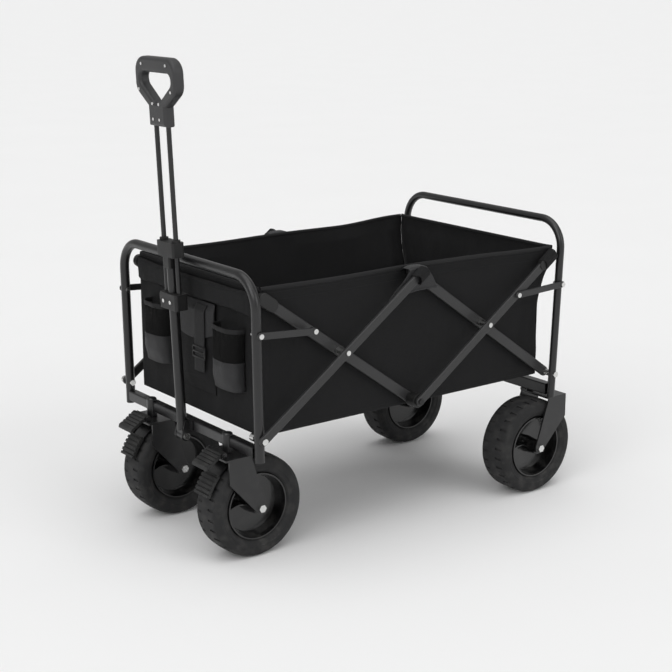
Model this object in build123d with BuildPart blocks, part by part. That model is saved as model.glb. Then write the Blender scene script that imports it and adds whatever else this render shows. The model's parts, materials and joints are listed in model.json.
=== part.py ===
"""Folding camp wagon: steel X-frame cart with a fabric bag and a telescoping pull handle.

Millimetres, +Z up, +X towards the handle end, +Y to the wagon's left.
The origin lies on the floor under the middle of the overall box.
Each side carries two scissors.  Bars A and C lie in the outer plane, bars B and D in the inner one:
A runs from the front leg up to the middle, B from the middle's foot up to the front corner,
C from the middle's foot up to the rear corner, D from the rear leg up to the middle.
"""

import os
from math import atan2, cos, degrees, hypot, radians, sin, tan

from build123d import *

os.makedirs("parts", exist_ok=True)

# ---------------------------------------------------------------- driving sizes
# Clearances
RUN = 0.05  # radial running clearance of every pin and sliding rod
SEAT = 0.3  # gap between pieces that only lie against each other
BODY_GAP = 1.0  # gap between moving flats that pass each other

# Scissor bars
ARM_HALF = 236.0  # crossing rivet to the joints in the middle
ARM_TIP = 220.0  # crossing rivet to the centre of a corner bar's upper end
ARM_FOOT = 250.0  # crossing rivet to the pivot on a leg
OPEN_ANGLE = 35.5  # slope of the bars with the wagon open
OUTER_BAR_W = 19.0
INNER_BAR_W = 22.0
BAR_T = 8.0
BAR_EDGE = 2.4  # rounded long edges of the bars
LINK_PAST_CROSS = 96.0  # from the crossing rivet to the link rivet, along bars B and C
LINK_W = 14.0
LINK_T = 5.0
CAP_L = 46.0
CAP_WALL = 2.4

# Fasteners
BOLT_R = 4.0
BOLT_HEAD_R = 6.5
BOLT_HEAD_H = 3.6
RIVET_R = 3.2
RIVET_HEAD_R = 5.2
RIVET_HEAD_H = 2.4
NUT_CAP_R = 8.0
NUT_CAP_L = 14.0

# Hoops and cross tubes
FRONT_TUBE_R = 10.0
REAR_TUBE_R = 8.5
TUBE_WALL = 1.6
FRONT_LEG_Y = 254.0
REAR_LEG_OUT = 10.0  # the rear legs stand this much wider than the front ones
FRONT_TOP_RISE = 46.0  # hoop tops above the corner bars' tips
REAR_TOP_RISE = 73.0
FRONT_LEAN = 0.8  # degrees, away from the bag
REAR_LEAN = 2.3
HOOP_BEND_R = 62.0
FRONT_CROSS = (20.0, 22.0)  # along X and Z
REAR_CROSS = (22.0, 26.0)
CROSS_WALL = 2.0

# Wheels
WHEEL_R = 108.0
TYRE_W = 76.0
RIM_R = 72.0
RIM_W = 60.0
HUB_R = 15.0
HUB_W = 80.0
AXLE_R = 5.0
AXLE_HEAD_R = 8.5
AXLE_HEAD_H = 6.0
FORK_GAP = 4.0  # tyre side to fork blade
BLADE_T = 3.5
CROWN_T = 4.0
FRONT_AXLE_BACK = 42.66  # front axle behind the front pivots
REAR_AXLE_BACK = 33.06  # rear axle ahead of the rear pivots
FRONT_TRACK_IN = 104.0  # middle of a front wheel inside its leg
REAR_TRACK_IN = 43.0
CASTER_TRAIL = 49.0
CROWN_CLEAR = 5.0  # over the tyre
STEM_R = 7.0
HOUSING_R = 11.0

# Heights above the tops of the wheels
PIVOT_UP = 62.0  # the bars' pivots on the legs
FRONT_FOOT_UP = 15.0  # lower ends of the front legs
FRONT_CROSS_UP = 33.0
REAR_CROSS_UP = 25.0
HOUSING_UP = 52.0
HINGE_UP = 10.0
BAG_FLOOR_UP = 61.0
POCKET_UP = 102.0

# Pull handle
HANDLE_AHEAD = 20.84  # hinge ahead of the front pivots
HANDLE_LEAN = 2.35
MAIN_TUBE_R = 10.5
ROD_R = 5.0
ROD_SPACING = 46.0
SLIDER_AT = 272.0  # everything below here is measured from the hinge, along the pole
SLIDER_H = 33.0
BLOCK_AT = 381.0
BLOCK_H = 30.0
BLOCK_SLEEVE = 24.0
GRIP_AT = 641.0
GRIP_H = 134.0
GRIP_HALF_W = 66.0  # to the middle of the side walls
GRIP_WALL = 20.0
GRIP_T = 24.0
GRIP_BAR = 30.0

# Bag
BAG_INSET = 20.66  # bag ends inside the pivots
RIM_RISE = 15.0  # rim above the corner bars' tips
FABRIC_T = 3.0
BAND_T = 12.0
BAND_H = 52.0
POCKET_DEPTH = 38.0
CUP_IN = 94.0  # middle of a cup pocket inside the bag's side
CUP_W = 92.0
CUP_H = 160.0
CENTRE_HALF_W = 74.0
CENTRE_DEPTH = 16.0
CENTRE_H = 182.0

# ---------------------------------------------------------------- worked-out places
WHEEL_TOP = 2 * WHEEL_R
PIVOT_Z = WHEEL_TOP + PIVOT_UP
FRONT_LEG_FOOT_Z = WHEEL_TOP + FRONT_FOOT_UP
FRONT_CROSS_Z = WHEEL_TOP + FRONT_CROSS_UP
REAR_CROSS_Z = WHEEL_TOP + REAR_CROSS_UP
HOUSING_TOP = WHEEL_TOP + HOUSING_UP
HANDLE_HINGE_Z = WHEEL_TOP + HINGE_UP
BAG_FLOOR_Z = WHEEL_TOP + BAG_FLOOR_UP
POCKET_Z = WHEEL_TOP + POCKET_UP
REAR_LEG_Y = FRONT_LEG_Y + REAR_LEG_OUT
FRONT_TRACK_Y = FRONT_LEG_Y - FRONT_TRACK_IN
REAR_TRACK_Y = REAR_LEG_Y - REAR_TRACK_IN
LINK_SEAT = ARM_HALF + LINK_PAST_CROSS  # from the middle's foot

pivot_x = (ARM_FOOT + ARM_HALF) * cos(radians(OPEN_ANGLE))
cross_x = ARM_HALF * cos(radians(OPEN_ANGLE))
cross_z = PIVOT_Z + ARM_FOOT * sin(radians(OPEN_ANGLE))
mid_low_z = cross_z - ARM_HALF * sin(radians(OPEN_ANGLE))
mid_top_z = cross_z + ARM_HALF * sin(radians(OPEN_ANGLE))

inner_y1 = FRONT_LEG_Y - FRONT_TUBE_R - CAP_WALL - BODY_GAP  # inner bars: inside both hoops
inner_y0 = inner_y1 - BAR_T
outer_y0 = FRONT_LEG_Y + FRONT_TUBE_R + BODY_GAP  # outer bars: just outside the front leg
outer_y1 = outer_y0 + BAR_T
tip_x = cross_x + ARM_TIP * cos(radians(OPEN_ANGLE))
tip_z = cross_z + ARM_TIP * sin(radians(OPEN_ANGLE))
FRONT_TOP_Z = tip_z + FRONT_TOP_RISE
REAR_TOP_Z = tip_z + REAR_TOP_RISE
BAG_RIM_Z = tip_z + RIM_RISE
BAG_HALF_X = pivot_x - BAG_INSET
FRONT_AXLE_X = pivot_x - FRONT_AXLE_BACK
REAR_AXLE_X = REAR_AXLE_BACK - pivot_x
HANDLE_X = pivot_x + HANDLE_AHEAD
bag_side_y = inner_y0 - CAP_WALL - SEAT  # the bag hangs just inside the bars and their caps

axle_z = WHEEL_R
blade_y0 = TYRE_W / 2 + FORK_GAP
blade_y1 = blade_y0 + BLADE_T
crown_z = 2 * WHEEL_R + CROWN_CLEAR
post_x = FRONT_AXLE_X + CASTER_TRAIL

rod_y = ROD_SPACING / 2
SIDES = {"left": 1, "right": -1}


def write(part, name):
    """Label a finished piece and write it as one STEP file."""
    part.label = name
    export_step(part, f"parts/{name}.step")


def between(y_from, y_to):
    """XZ plane from which an extrusion towards -Y fills the space between two Y values."""
    return Plane.XZ.offset(-max(y_from, y_to))


def slab(side, y_in, y_out):
    """XZ plane for a layer from y_in to y_out, counted outwards on one side of the wagon."""
    return between(side * y_in, side * y_out)


def leg_x(lean, front, height):
    """X of a leg's axis at a height; the legs lean away from the bag about their pivots."""
    reach = pivot_x + (height - PIVOT_Z) * tan(radians(lean))
    return reach if front else -reach


# ---------------------------------------------------------------- scissor bars
def bar(name, side, start, end, width, y_in, y_out, holes):
    """Flat-oval steel bar between two joints, with a hole for each pin."""
    run = hypot(end[0] - start[0], end[1] - start[1])
    slope = degrees(atan2(end[1] - start[1], end[0] - start[0]))
    middle = ((start[0] + end[0]) / 2, (start[1] + end[1]) / 2)
    with BuildPart() as steel:
        with BuildSketch(slab(side, y_in, y_out)):
            with Locations(middle):
                SlotCenterToCenter(run, width, rotation=slope)
        extrude(amount=y_out - y_in)
        fillet(steel.edges().filter_by(Plane.XZ), BAR_EDGE)
        with BuildSketch(slab(side, y_in, y_out)):
            for x, z, radius in holes:
                with Locations((x, z)):
                    Circle(radius + RUN)
        extrude(amount=y_out - y_in, mode=Mode.SUBTRACT)
    write(steel.part, name)


for word, side in SIDES.items():
    bar(
        f"bar_a_{word}",
        side,
        (pivot_x, PIVOT_Z),
        (0, mid_top_z),
        OUTER_BAR_W,
        outer_y0,
        outer_y1,
        [(pivot_x, PIVOT_Z, BOLT_R), (cross_x, cross_z, RIVET_R), (0, mid_top_z, BOLT_R)],
    )
    bar(
        f"bar_b_{word}",
        side,
        (0, mid_low_z),
        (tip_x, tip_z),
        INNER_BAR_W,
        inner_y0,
        inner_y1,
        [(0, mid_low_z, BOLT_R), (cross_x, cross_z, RIVET_R)],
    )
    bar(
        f"bar_c_{word}",
        side,
        (0, mid_low_z),
        (-tip_x, tip_z),
        OUTER_BAR_W,
        outer_y0,
        outer_y1,
        [(0, mid_low_z, BOLT_R), (-cross_x, cross_z, RIVET_R)],
    )
    bar(
        f"bar_d_{word}",
        side,
        (-pivot_x, PIVOT_Z),
        (0, mid_top_z),
        INNER_BAR_W,
        inner_y0,
        inner_y1,
        [(-pivot_x, PIVOT_Z, BOLT_R), (-cross_x, cross_z, RIVET_R), (0, mid_top_z, BOLT_R)],
    )


# ---------------------------------------------------------------- fasteners
def pin(side, x, z, steps):
    """Add a stepped round pin along Y: steps are (y_in, y_out, radius) measured from the centre line."""
    for y_in, y_out, radius in steps:
        with BuildSketch(slab(side, y_in, y_out)) as disc:
            with Locations((x, z)):
                Circle(radius)
        extrude(disc.sketch, amount=y_out - y_in)


spacer_r = 7.0
with BuildPart() as bars_a_rivets:
    for side in SIDES.values():
        pin(
            side,
            cross_x,
            cross_z,
            [
                (inner_y0 - RIVET_HEAD_H, inner_y0 - SEAT, RIVET_HEAD_R),
                (inner_y0 - SEAT, outer_y1 + SEAT, RIVET_R),
                (inner_y1 + SEAT, outer_y0 - SEAT, spacer_r),
                (outer_y1 + SEAT, outer_y1 + RIVET_HEAD_H, RIVET_HEAD_R),
            ],
        )
        pin(
            side,
            0,
            mid_top_z,
            [
                (inner_y0 - RIVET_HEAD_H, inner_y0 - SEAT, BOLT_HEAD_R),
                (inner_y0 - SEAT, outer_y1 + SEAT, BOLT_R),
                (inner_y1 + SEAT, outer_y0 - SEAT, spacer_r),
                (outer_y1 + SEAT, outer_y1 + BOLT_HEAD_H, BOLT_HEAD_R),
            ],
        )
write(bars_a_rivets.part, "bars_a_rivets")

with BuildPart() as bars_c_rivets:
    for side in SIDES.values():
        pin(
            side,
            -cross_x,
            cross_z,
            [
                (inner_y0 - RIVET_HEAD_H, inner_y0 - SEAT, RIVET_HEAD_R),
                (inner_y0 - SEAT, outer_y1 + SEAT, RIVET_R),
                (inner_y1 + SEAT, outer_y0 - SEAT, spacer_r),
                (outer_y1 + SEAT, outer_y1 + RIVET_HEAD_H, RIVET_HEAD_R),
            ],
        )
write(bars_c_rivets.part, "bars_c_rivets")

HUB_BLOCK_R = 15.0
with BuildPart() as mid_low_hubs:
    for side in SIDES.values():
        pin(
            side,
            0,
            mid_low_z,
            [
                (inner_y0 - RIVET_HEAD_H, inner_y0 - SEAT, BOLT_HEAD_R),
                (inner_y0 - SEAT, outer_y1 + SEAT, BOLT_R),
                (inner_y1 + SEAT, outer_y0 - SEAT, HUB_BLOCK_R),
                (outer_y1 + SEAT, outer_y1 + BOLT_HEAD_H, BOLT_HEAD_R),
            ],
        )
write(mid_low_hubs.part, "mid_low_hubs")

# ---------------------------------------------------------------- links from the legs to the bars
FOLD_ANGLE = 36.0  # how far the bars swing when the wagon folds


def link_height(lean):
    """Height of the link rivet on a leg that makes the link fit both open and folded."""
    closed = radians(OPEN_ANGLE + FOLD_ANGLE)
    bar_x = LINK_SEAT * cos(radians(OPEN_ANGLE))
    bar_z = mid_low_z + LINK_SEAT * sin(radians(OPEN_ANGLE))
    shut_x = pivot_x - (ARM_FOOT + ARM_HALF) * cos(closed) + LINK_SEAT * cos(closed)
    shut_z = PIVOT_Z + ARM_FOOT * sin(closed) + (LINK_SEAT - ARM_HALF) * sin(closed)
    height = 490.0
    for _ in range(20):
        leg = leg_x(lean, True, height)
        numerator = (leg - shut_x) ** 2 + shut_z**2 - (leg - bar_x) ** 2 - bar_z**2
        height = numerator / (2 * (shut_z - bar_z))
    return height


link_bar_x = LINK_SEAT * cos(radians(OPEN_ANGLE))
link_bar_z = mid_low_z + LINK_SEAT * sin(radians(OPEN_ANGLE))
front_link_z = link_height(FRONT_LEAN)
rear_link_z = link_height(REAR_LEAN)
front_link_x = leg_x(FRONT_LEAN, True, front_link_z)
rear_link_x = leg_x(REAR_LEAN, False, rear_link_z)
front_link_y0 = outer_y0
rear_link_y0 = REAR_LEG_Y + REAR_TUBE_R + BODY_GAP


def links(name, leg, seat, y_in):
    """A pair of flattened tube links, one each side."""
    with BuildPart() as pair:
        for side in SIDES.values():
            run = hypot(seat[0] - leg[0], seat[1] - leg[1])
            slope = degrees(atan2(seat[1] - leg[1], seat[0] - leg[0]))
            with BuildSketch(slab(side, y_in, y_in + LINK_T)):
                with Locations(((leg[0] + seat[0]) / 2, (leg[1] + seat[1]) / 2)):
                    SlotCenterToCenter(run, LINK_W, rotation=slope)
            extrude(amount=LINK_T)
        fillet(pair.edges().filter_by(Plane.XZ), 1.6)
        for side in SIDES.values():
            with BuildSketch(slab(side, y_in, y_in + LINK_T)):
                with Locations(leg, seat):
                    Circle(RIVET_R + RUN)
            extrude(amount=LINK_T, mode=Mode.SUBTRACT)
    write(pair.part, name)


def link_rivets(name, seat, bar_y, y_in):
    """The rivets at the links' bar ends; their tails stop just short of the bars."""
    with BuildPart() as pair:
        for side in SIDES.values():
            shoulder = max(bar_y + SEAT, y_in - 10.2)
            pin(
                side,
                seat[0],
                seat[1],
                [
                    (shoulder, y_in, 6.0),
                    (y_in, y_in + LINK_T, RIVET_R),
                    (y_in + LINK_T, y_in + LINK_T + RIVET_HEAD_H, RIVET_HEAD_R),
                ],
            )
    write(pair.part, name)


links("links_front", (front_link_x, front_link_z), (link_bar_x, link_bar_z), front_link_y0)
links("links_rear", (rear_link_x, rear_link_z), (-link_bar_x, link_bar_z), rear_link_y0)
link_rivets("link_rivets_front", (link_bar_x, link_bar_z), inner_y1, front_link_y0)
link_rivets("link_rivets_rear", (-link_bar_x, link_bar_z), outer_y1, rear_link_y0)


# ---------------------------------------------------------------- corner caps on the bar tips
def corner_caps(name, front, y_in, y_out, width):
    """Moulded caps that close the upper ends of the corner bars."""
    end_x = tip_x if front else -tip_x
    slope = OPEN_ANGLE if front else 180 - OPEN_ANGLE
    along = (cos(radians(slope)), sin(radians(slope)))
    back = CAP_L / 2 - width / 2
    middle = (end_x - back * along[0], tip_z - back * along[1])
    with BuildPart() as caps:
        for side in SIDES.values():
            with BuildSketch(slab(side, y_in - CAP_WALL, y_out + CAP_WALL)):
                with Locations(middle):
                    SlotOverall(CAP_L + CAP_WALL * 2, width + CAP_WALL * 2, rotation=slope)
            extrude(amount=y_out - y_in + 2 * CAP_WALL)
        fillet(caps.edges().filter_by(Plane.XZ), CAP_WALL - 0.4)
        for side in SIDES.values():
            with BuildSketch(slab(side, y_in - SEAT, y_out + SEAT)):
                with Locations((end_x - along[0] * CAP_L, tip_z - along[1] * CAP_L)):
                    SlotCenterToCenter(2 * CAP_L, width + 2 * SEAT, rotation=slope)
            extrude(amount=y_out - y_in + 2 * SEAT, mode=Mode.SUBTRACT)
    write(caps.part, name)


corner_caps("corner_caps_front", True, inner_y0, inner_y1, INNER_BAR_W)
corner_caps("corner_caps_rear", False, outer_y0, outer_y1, OUTER_BAR_W)


# ---------------------------------------------------------------- hoops
def hoop_plane(front, lean):
    """Plane of a hoop: its origin is between the two pivots, local x is +Y and local y runs up the legs."""
    tilt = radians(lean) if front else -radians(lean)
    up = Vector(sin(tilt), 0, cos(tilt))
    normal = Vector(0, 1, 0).cross(up)
    return Plane(origin=(leg_x(lean, front, PIVOT_Z), 0, PIVOT_Z), x_dir=(0, 1, 0), z_dir=normal)


def hoop(front, lean, leg_y, top_z, foot_z, radius, bolts):
    """Inverted-U tube whose legs carry the cross holes for the bolts and rivets."""
    plane = hoop_plane(front, lean)
    rise = (top_z - PIVOT_Z) / cos(radians(lean))
    drop = (PIVOT_Z - foot_z) / cos(radians(lean))
    with BuildPart() as tube:
        with BuildLine(plane) as route:
            FilletPolyline(
                (leg_y, -drop),
                (leg_y, rise),
                (-leg_y, rise),
                (-leg_y, -drop),
                radius=HOOP_BEND_R,
            )
        with BuildSketch(Plane(origin=route.line @ 0, z_dir=route.line % 0)):
            Circle(radius)
            Circle(radius - TUBE_WALL, mode=Mode.SUBTRACT)
        sweep(path=route.line)
        for z, pin_r in bolts:
            with BuildSketch(Plane.XZ.offset(-leg_y - 2 * radius)):
                with Locations((leg_x(lean, front, z), z)):
                    Circle(pin_r + RUN)
            extrude(amount=2 * leg_y + 4 * radius, mode=Mode.SUBTRACT)
    return tube


front_hoop = hoop(
    True,
    FRONT_LEAN,
    FRONT_LEG_Y,
    FRONT_TOP_Z,
    FRONT_LEG_FOOT_Z,
    FRONT_TUBE_R,
    [(PIVOT_Z, BOLT_R), (front_link_z, RIVET_R)],
)
write(front_hoop.part, "front_hoop")

rear_crown_top = crown_z + CROWN_T - 1.5
rear_hoop = hoop(
    False,
    REAR_LEAN,
    REAR_LEG_Y,
    REAR_TOP_Z,
    rear_crown_top + 2 * SEAT,
    REAR_TUBE_R,
    [(PIVOT_Z, BOLT_R), (rear_link_z, RIVET_R)],
)
write(rear_hoop.part, "rear_hoop")


# ---------------------------------------------------------------- cross tubes
def cross_tube(name, front, lean, leg_y, leg_r, size, height, holes):
    """Rectangular tube between the legs, coped round them."""
    centre_x = leg_x(lean, front, height)
    with BuildPart() as tube:
        with BuildSketch(Plane.XZ.offset(-leg_y)):
            with Locations((centre_x, height)):
                RectangleRounded(size[0], size[1], 3)
                RectangleRounded(
                    size[0] - 2 * CROSS_WALL, size[1] - 2 * CROSS_WALL, 1.5, mode=Mode.SUBTRACT
                )
        extrude(amount=2 * leg_y)
        with BuildSketch(Plane.XY.offset(height - size[1])):
            with Locations((centre_x, leg_y), (centre_x, -leg_y)):
                Rectangle(size[0] + 2, 2 * leg_r + 2 * SEAT)
        extrude(amount=2 * size[1], mode=Mode.SUBTRACT)
        if holes:
            with BuildSketch(Plane.XY.offset(height - size[1])):
                with Locations(*holes):
                    Circle(HOUSING_R + SEAT)
            extrude(amount=2 * size[1], mode=Mode.SUBTRACT)
    write(tube.part, name)


cross_tube(
    "front_cross_tube",
    True,
    FRONT_LEAN,
    FRONT_LEG_Y,
    FRONT_TUBE_R,
    FRONT_CROSS,
    FRONT_CROSS_Z,
    [(post_x, FRONT_TRACK_Y), (post_x, -FRONT_TRACK_Y)],
)
cross_tube(
    "rear_cross_tube",
    False,
    REAR_LEAN,
    REAR_LEG_Y,
    REAR_TUBE_R,
    REAR_CROSS,
    REAR_CROSS_Z,
    [],
)


# ---------------------------------------------------------------- caster housings
STEM_TOP = HOUSING_TOP - 8.0
HOUSING_FOOT = crown_z + CROWN_T + BODY_GAP
with BuildPart() as caster_housings:
    for side in SIDES.values():
        with BuildSketch(Plane.XY.offset(HOUSING_FOOT)):
            with Locations((post_x, side * FRONT_TRACK_Y)):
                Circle(HOUSING_R)
        extrude(amount=HOUSING_TOP - HOUSING_FOOT)
    fillet(caster_housings.edges().group_by(Axis.Z)[-1], 5)
    for side in SIDES.values():
        with BuildSketch(Plane.XY.offset(HOUSING_FOOT)):
            with Locations((post_x, side * FRONT_TRACK_Y)):
                Circle(STEM_R + RUN)
        extrude(amount=STEM_TOP + BODY_GAP - HOUSING_FOOT, mode=Mode.SUBTRACT)
write(caster_housings.part, "caster_housings")


# ---------------------------------------------------------------- fork outlines
EYE_R = 12.5  # the rounded end of a blade round the axle
SHOULDER_H = 52.0  # depth of a blade's wide top


def blade_outline(axle_x, top_from, top_to, top):
    """Tapered fork blade: a round eye on the axle under a wide shoulder."""
    with BuildSketch() as outline:
        with Locations((axle_x, axle_z)):
            Circle(EYE_R)
        with Locations(((top_from + top_to) / 2, top - SHOULDER_H / 2)):
            Rectangle(abs(top_to - top_from), SHOULDER_H)
        make_hull()
        with Locations((axle_x, axle_z)):
            Circle(AXLE_R + SEAT, mode=Mode.SUBTRACT)
    return outline.sketch


# ---------------------------------------------------------------- casters
CROWN_FROM = post_x - 26.0
CROWN_TO = post_x + 34.0
BRAKE_R0 = WHEEL_R + 4.0  # the strap that curves down in front of the tyre
STRAP_T = 3.0
PEDAL_PIN = (post_x + 27.0, crown_z + CROWN_T + 5.6)
PEDAL_PIN_R = 3.0
PEDAL_HALF_W = 27.0
EAR_T = 3.0
EAR_R = 5.4


def arc_band(inner, outer, low, high):
    """Sketch of a band round the axle between two angles above the horizontal."""
    centre = (FRONT_AXLE_X, axle_z)

    def at(radius, angle):
        return (
            centre[0] + radius * cos(radians(angle)),
            centre[1] + radius * sin(radians(angle)),
        )

    middle = (low + high) / 2
    with BuildSketch() as band:
        with BuildLine():
            ThreePointArc(at(inner, low), at(inner, middle), at(inner, high))
            Line(at(inner, high), at(outer, high))
            ThreePointArc(at(outer, high), at(outer, middle), at(outer, low))
            Line(at(outer, low), at(inner, low))
        make_face()
    return band.sketch


def across(part_sketch, y_from, y_to, mode=Mode.ADD):
    """Extrude an XZ outline between two Y values into the part that is being built."""
    plane = Plane.XZ.offset(-max(y_from, y_to))
    extrude(plane.from_local_coords(part_sketch), amount=abs(y_to - y_from), mode=mode)


def axle_bolt(axle_x, track):
    """Add a wheel's through bolt, with a hexagon head and nut outside the fork blades."""
    with BuildSketch() as shank:
        with Locations((axle_x, axle_z)):
            Circle(AXLE_R)
    with BuildSketch() as hexagon:
        with Locations((axle_x, axle_z)):
            RegularPolygon(AXLE_HEAD_R, 6)
    across(shank.sketch, track - blade_y1 - SEAT, track + blade_y1 + SEAT)
    for flank in (1, -1):
        inside = track + flank * (blade_y1 + SEAT)
        across(hexagon.sketch, inside, inside + flank * (AXLE_HEAD_H - SEAT))


for word, side in SIDES.items():
    track = side * FRONT_TRACK_Y
    with BuildPart() as fork:
        blade = blade_outline(FRONT_AXLE_X, CROWN_FROM, CROWN_TO - 8, crown_z + CROWN_T)
        across(blade, track + blade_y0, track + blade_y1)
        across(blade, track - blade_y1, track - blade_y0)
        with BuildSketch(Plane.XY.offset(crown_z)):
            with Locations(((CROWN_FROM + CROWN_TO) / 2, track)):
                RectangleRounded(CROWN_TO - CROWN_FROM, 2 * blade_y1, 3)
        extrude(amount=CROWN_T)
        strap = arc_band(BRAKE_R0, BRAKE_R0 + STRAP_T, 19, 63)
        across(strap, track - 20, track + 20)
        with BuildSketch(Plane.XY.offset(axle_z + 98)):
            with Locations((FRONT_AXLE_X + 52, track)):
                Rectangle(8, 40)
        extrude(amount=crown_z - axle_z - 97)
        with BuildSketch(Plane.XY.offset(crown_z + 1)):
            with Locations((post_x, track)):
                Circle(STEM_R)
        extrude(amount=STEM_TOP - crown_z - 1)
        for flank in (1, -1):
            ear_in = track + flank * (PEDAL_HALF_W + BODY_GAP)
            with BuildSketch(between(ear_in, ear_in + flank * EAR_T)):
                with Locations(PEDAL_PIN):
                    Circle(EAR_R)
                with Locations((PEDAL_PIN[0], crown_z + CROWN_T / 2)):
                    Rectangle(2 * EAR_R, CROWN_T)
                make_hull()
            extrude(amount=EAR_T)
        pin_half = PEDAL_HALF_W + BODY_GAP + EAR_T + 2
        with BuildSketch(between(track - pin_half, track + pin_half)):
            with Locations(PEDAL_PIN):
                Circle(PEDAL_PIN_R)
        extrude(amount=2 * pin_half)
    write(fork.part, f"caster_fork_{word}")

    with BuildPart() as block:
        body = arc_band(BRAKE_R0 + STRAP_T, BRAKE_R0 + STRAP_T + 8, 19.5, 43)
        across(body, track - 25, track + 25)
        for step in range(5):
            angle = 22 + step * 4.4
            groove = arc_band(BRAKE_R0 + STRAP_T + 5, BRAKE_R0 + STRAP_T + 9, angle, angle + 1.6)
            across(groove, track - 26, track + 26, Mode.SUBTRACT)
    write(block.part, f"brake_block_{word}")

    PEDAL_REACH = 40.0
    with BuildPart() as pedal:
        with BuildSketch(between(track - PEDAL_HALF_W, track + PEDAL_HALF_W)):
            with BuildLine():
                Polyline(
                    (PEDAL_PIN[0] - 7, PEDAL_PIN[1] + 4.6),
                    (PEDAL_PIN[0] + 6, PEDAL_PIN[1] + 5),
                    (PEDAL_PIN[0] + PEDAL_REACH, PEDAL_PIN[1] - 17),
                    (PEDAL_PIN[0] + PEDAL_REACH + 1.6, PEDAL_PIN[1] - 24),
                    (PEDAL_PIN[0] + PEDAL_REACH - 5, PEDAL_PIN[1] - 21.5),
                    (PEDAL_PIN[0] + 8, PEDAL_PIN[1] - 4),
                    (PEDAL_PIN[0] - 7, PEDAL_PIN[1] - 3),
                    close=True,
                )
            make_face()
            with Locations(PEDAL_PIN):
                Circle(PEDAL_PIN_R + RUN, mode=Mode.SUBTRACT)
        extrude(amount=2 * PEDAL_HALF_W)
        for step in range(4):
            back = 11 + step * 7
            with BuildSketch(between(track - 30, track + 30)):
                with Locations((PEDAL_PIN[0] + back, PEDAL_PIN[1] + 5 - 0.65 * (back - 6))):
                    Rectangle(2.2, 3.2, rotation=-35)
            extrude(amount=60, mode=Mode.SUBTRACT)
    write(pedal.part, f"brake_pedal_{word}")

    with BuildPart() as axle:
        axle_bolt(FRONT_AXLE_X, track)
    write(axle.part, f"caster_axle_{word}")


# ---------------------------------------------------------------- rear forks
REAR_CROWN_FROM = REAR_AXLE_X - 22.0
REAR_CROWN_TO = REAR_AXLE_X - 78.0
SPACER_Y = REAR_TRACK_Y - 45
for word, side in SIDES.items():
    track = side * REAR_TRACK_Y
    with BuildPart() as fork:
        blade = blade_outline(REAR_AXLE_X, REAR_CROWN_FROM - 4, REAR_CROWN_TO, rear_crown_top)
        across(blade, track + blade_y0, track + blade_y1)
        across(blade, track - blade_y1, track - blade_y0)
        with BuildSketch(Plane.XY.offset(rear_crown_top - CROWN_T)):
            with Locations(((REAR_CROWN_FROM + REAR_CROWN_TO) / 2, track)):
                RectangleRounded(REAR_CROWN_FROM - REAR_CROWN_TO, 2 * blade_y1, 3)
        extrude(amount=CROWN_T)
        spacer_top = REAR_CROSS_Z - REAR_CROSS[1] / 2 - SEAT
        with BuildSketch(Plane.XY.offset(rear_crown_top - 1)):
            with Locations((leg_x(REAR_LEAN, False, REAR_CROSS_Z), side * (SPACER_Y + 12))):
                Rectangle(REAR_CROSS[0], 22)
        extrude(amount=spacer_top - rear_crown_top + 1)
    write(fork.part, f"rear_fork_{word}")

with BuildPart() as rear_axle_bolts:
    for side in SIDES.values():
        track = side * REAR_TRACK_Y
        axle_bolt(REAR_AXLE_X, track)
write(rear_axle_bolts.part, "rear_axle_bolts")


# ---------------------------------------------------------------- wheels
TREAD_N = 30
TREAD_DEPTH = 3.0
FIN_N = 11
FIN_T = 3.0


def tyre(axle_x, track):
    """Wide foam-filled tyre with alternating shoulder lugs."""
    half = TYRE_W / 2
    with BuildPart() as rubber:
        with BuildSketch(Plane.YZ):
            with BuildLine():
                Line((-RIM_W / 2, RIM_R), (RIM_W / 2, RIM_R))
                Line((RIM_W / 2, RIM_R), (half - 4, RIM_R + 4))
                Line((half - 4, RIM_R + 4), (half - 1, RIM_R + 12))
                Line((half - 1, RIM_R + 12), (half, RIM_R + 13))
                Line((half, RIM_R + 13), (half, WHEEL_R - 15))
                ThreePointArc((half, WHEEL_R - 15), (half - 4, WHEEL_R - 5), (half - 14, WHEEL_R - 1))
                ThreePointArc((half - 14, WHEEL_R - 1), (0, WHEEL_R), (14 - half, WHEEL_R - 1))
                ThreePointArc((14 - half, WHEEL_R - 1), (4 - half, WHEEL_R - 5), (-half, WHEEL_R - 15))
                Line((-half, WHEEL_R - 15), (-half, RIM_R + 13))
                Line((-half, RIM_R + 13), (1 - half, RIM_R + 12))
                Line((1 - half, RIM_R + 12), (4 - half, RIM_R + 4))
                Line((4 - half, RIM_R + 4), (-RIM_W / 2, RIM_R))
            make_face()
        revolve(axis=Axis.Y)
        for flank in (1, -1):
            with BuildSketch(Plane.XZ.offset(-half if flank > 0 else 12)):
                with PolarLocations(WHEEL_R, TREAD_N, start_angle=6 * (flank > 0)):
                    Rectangle(2 * TREAD_DEPTH, 5, rotation=0)
            extrude(amount=half - 12, mode=Mode.SUBTRACT)
    return Pos(axle_x, track, axle_z) * rubber.part


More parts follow.
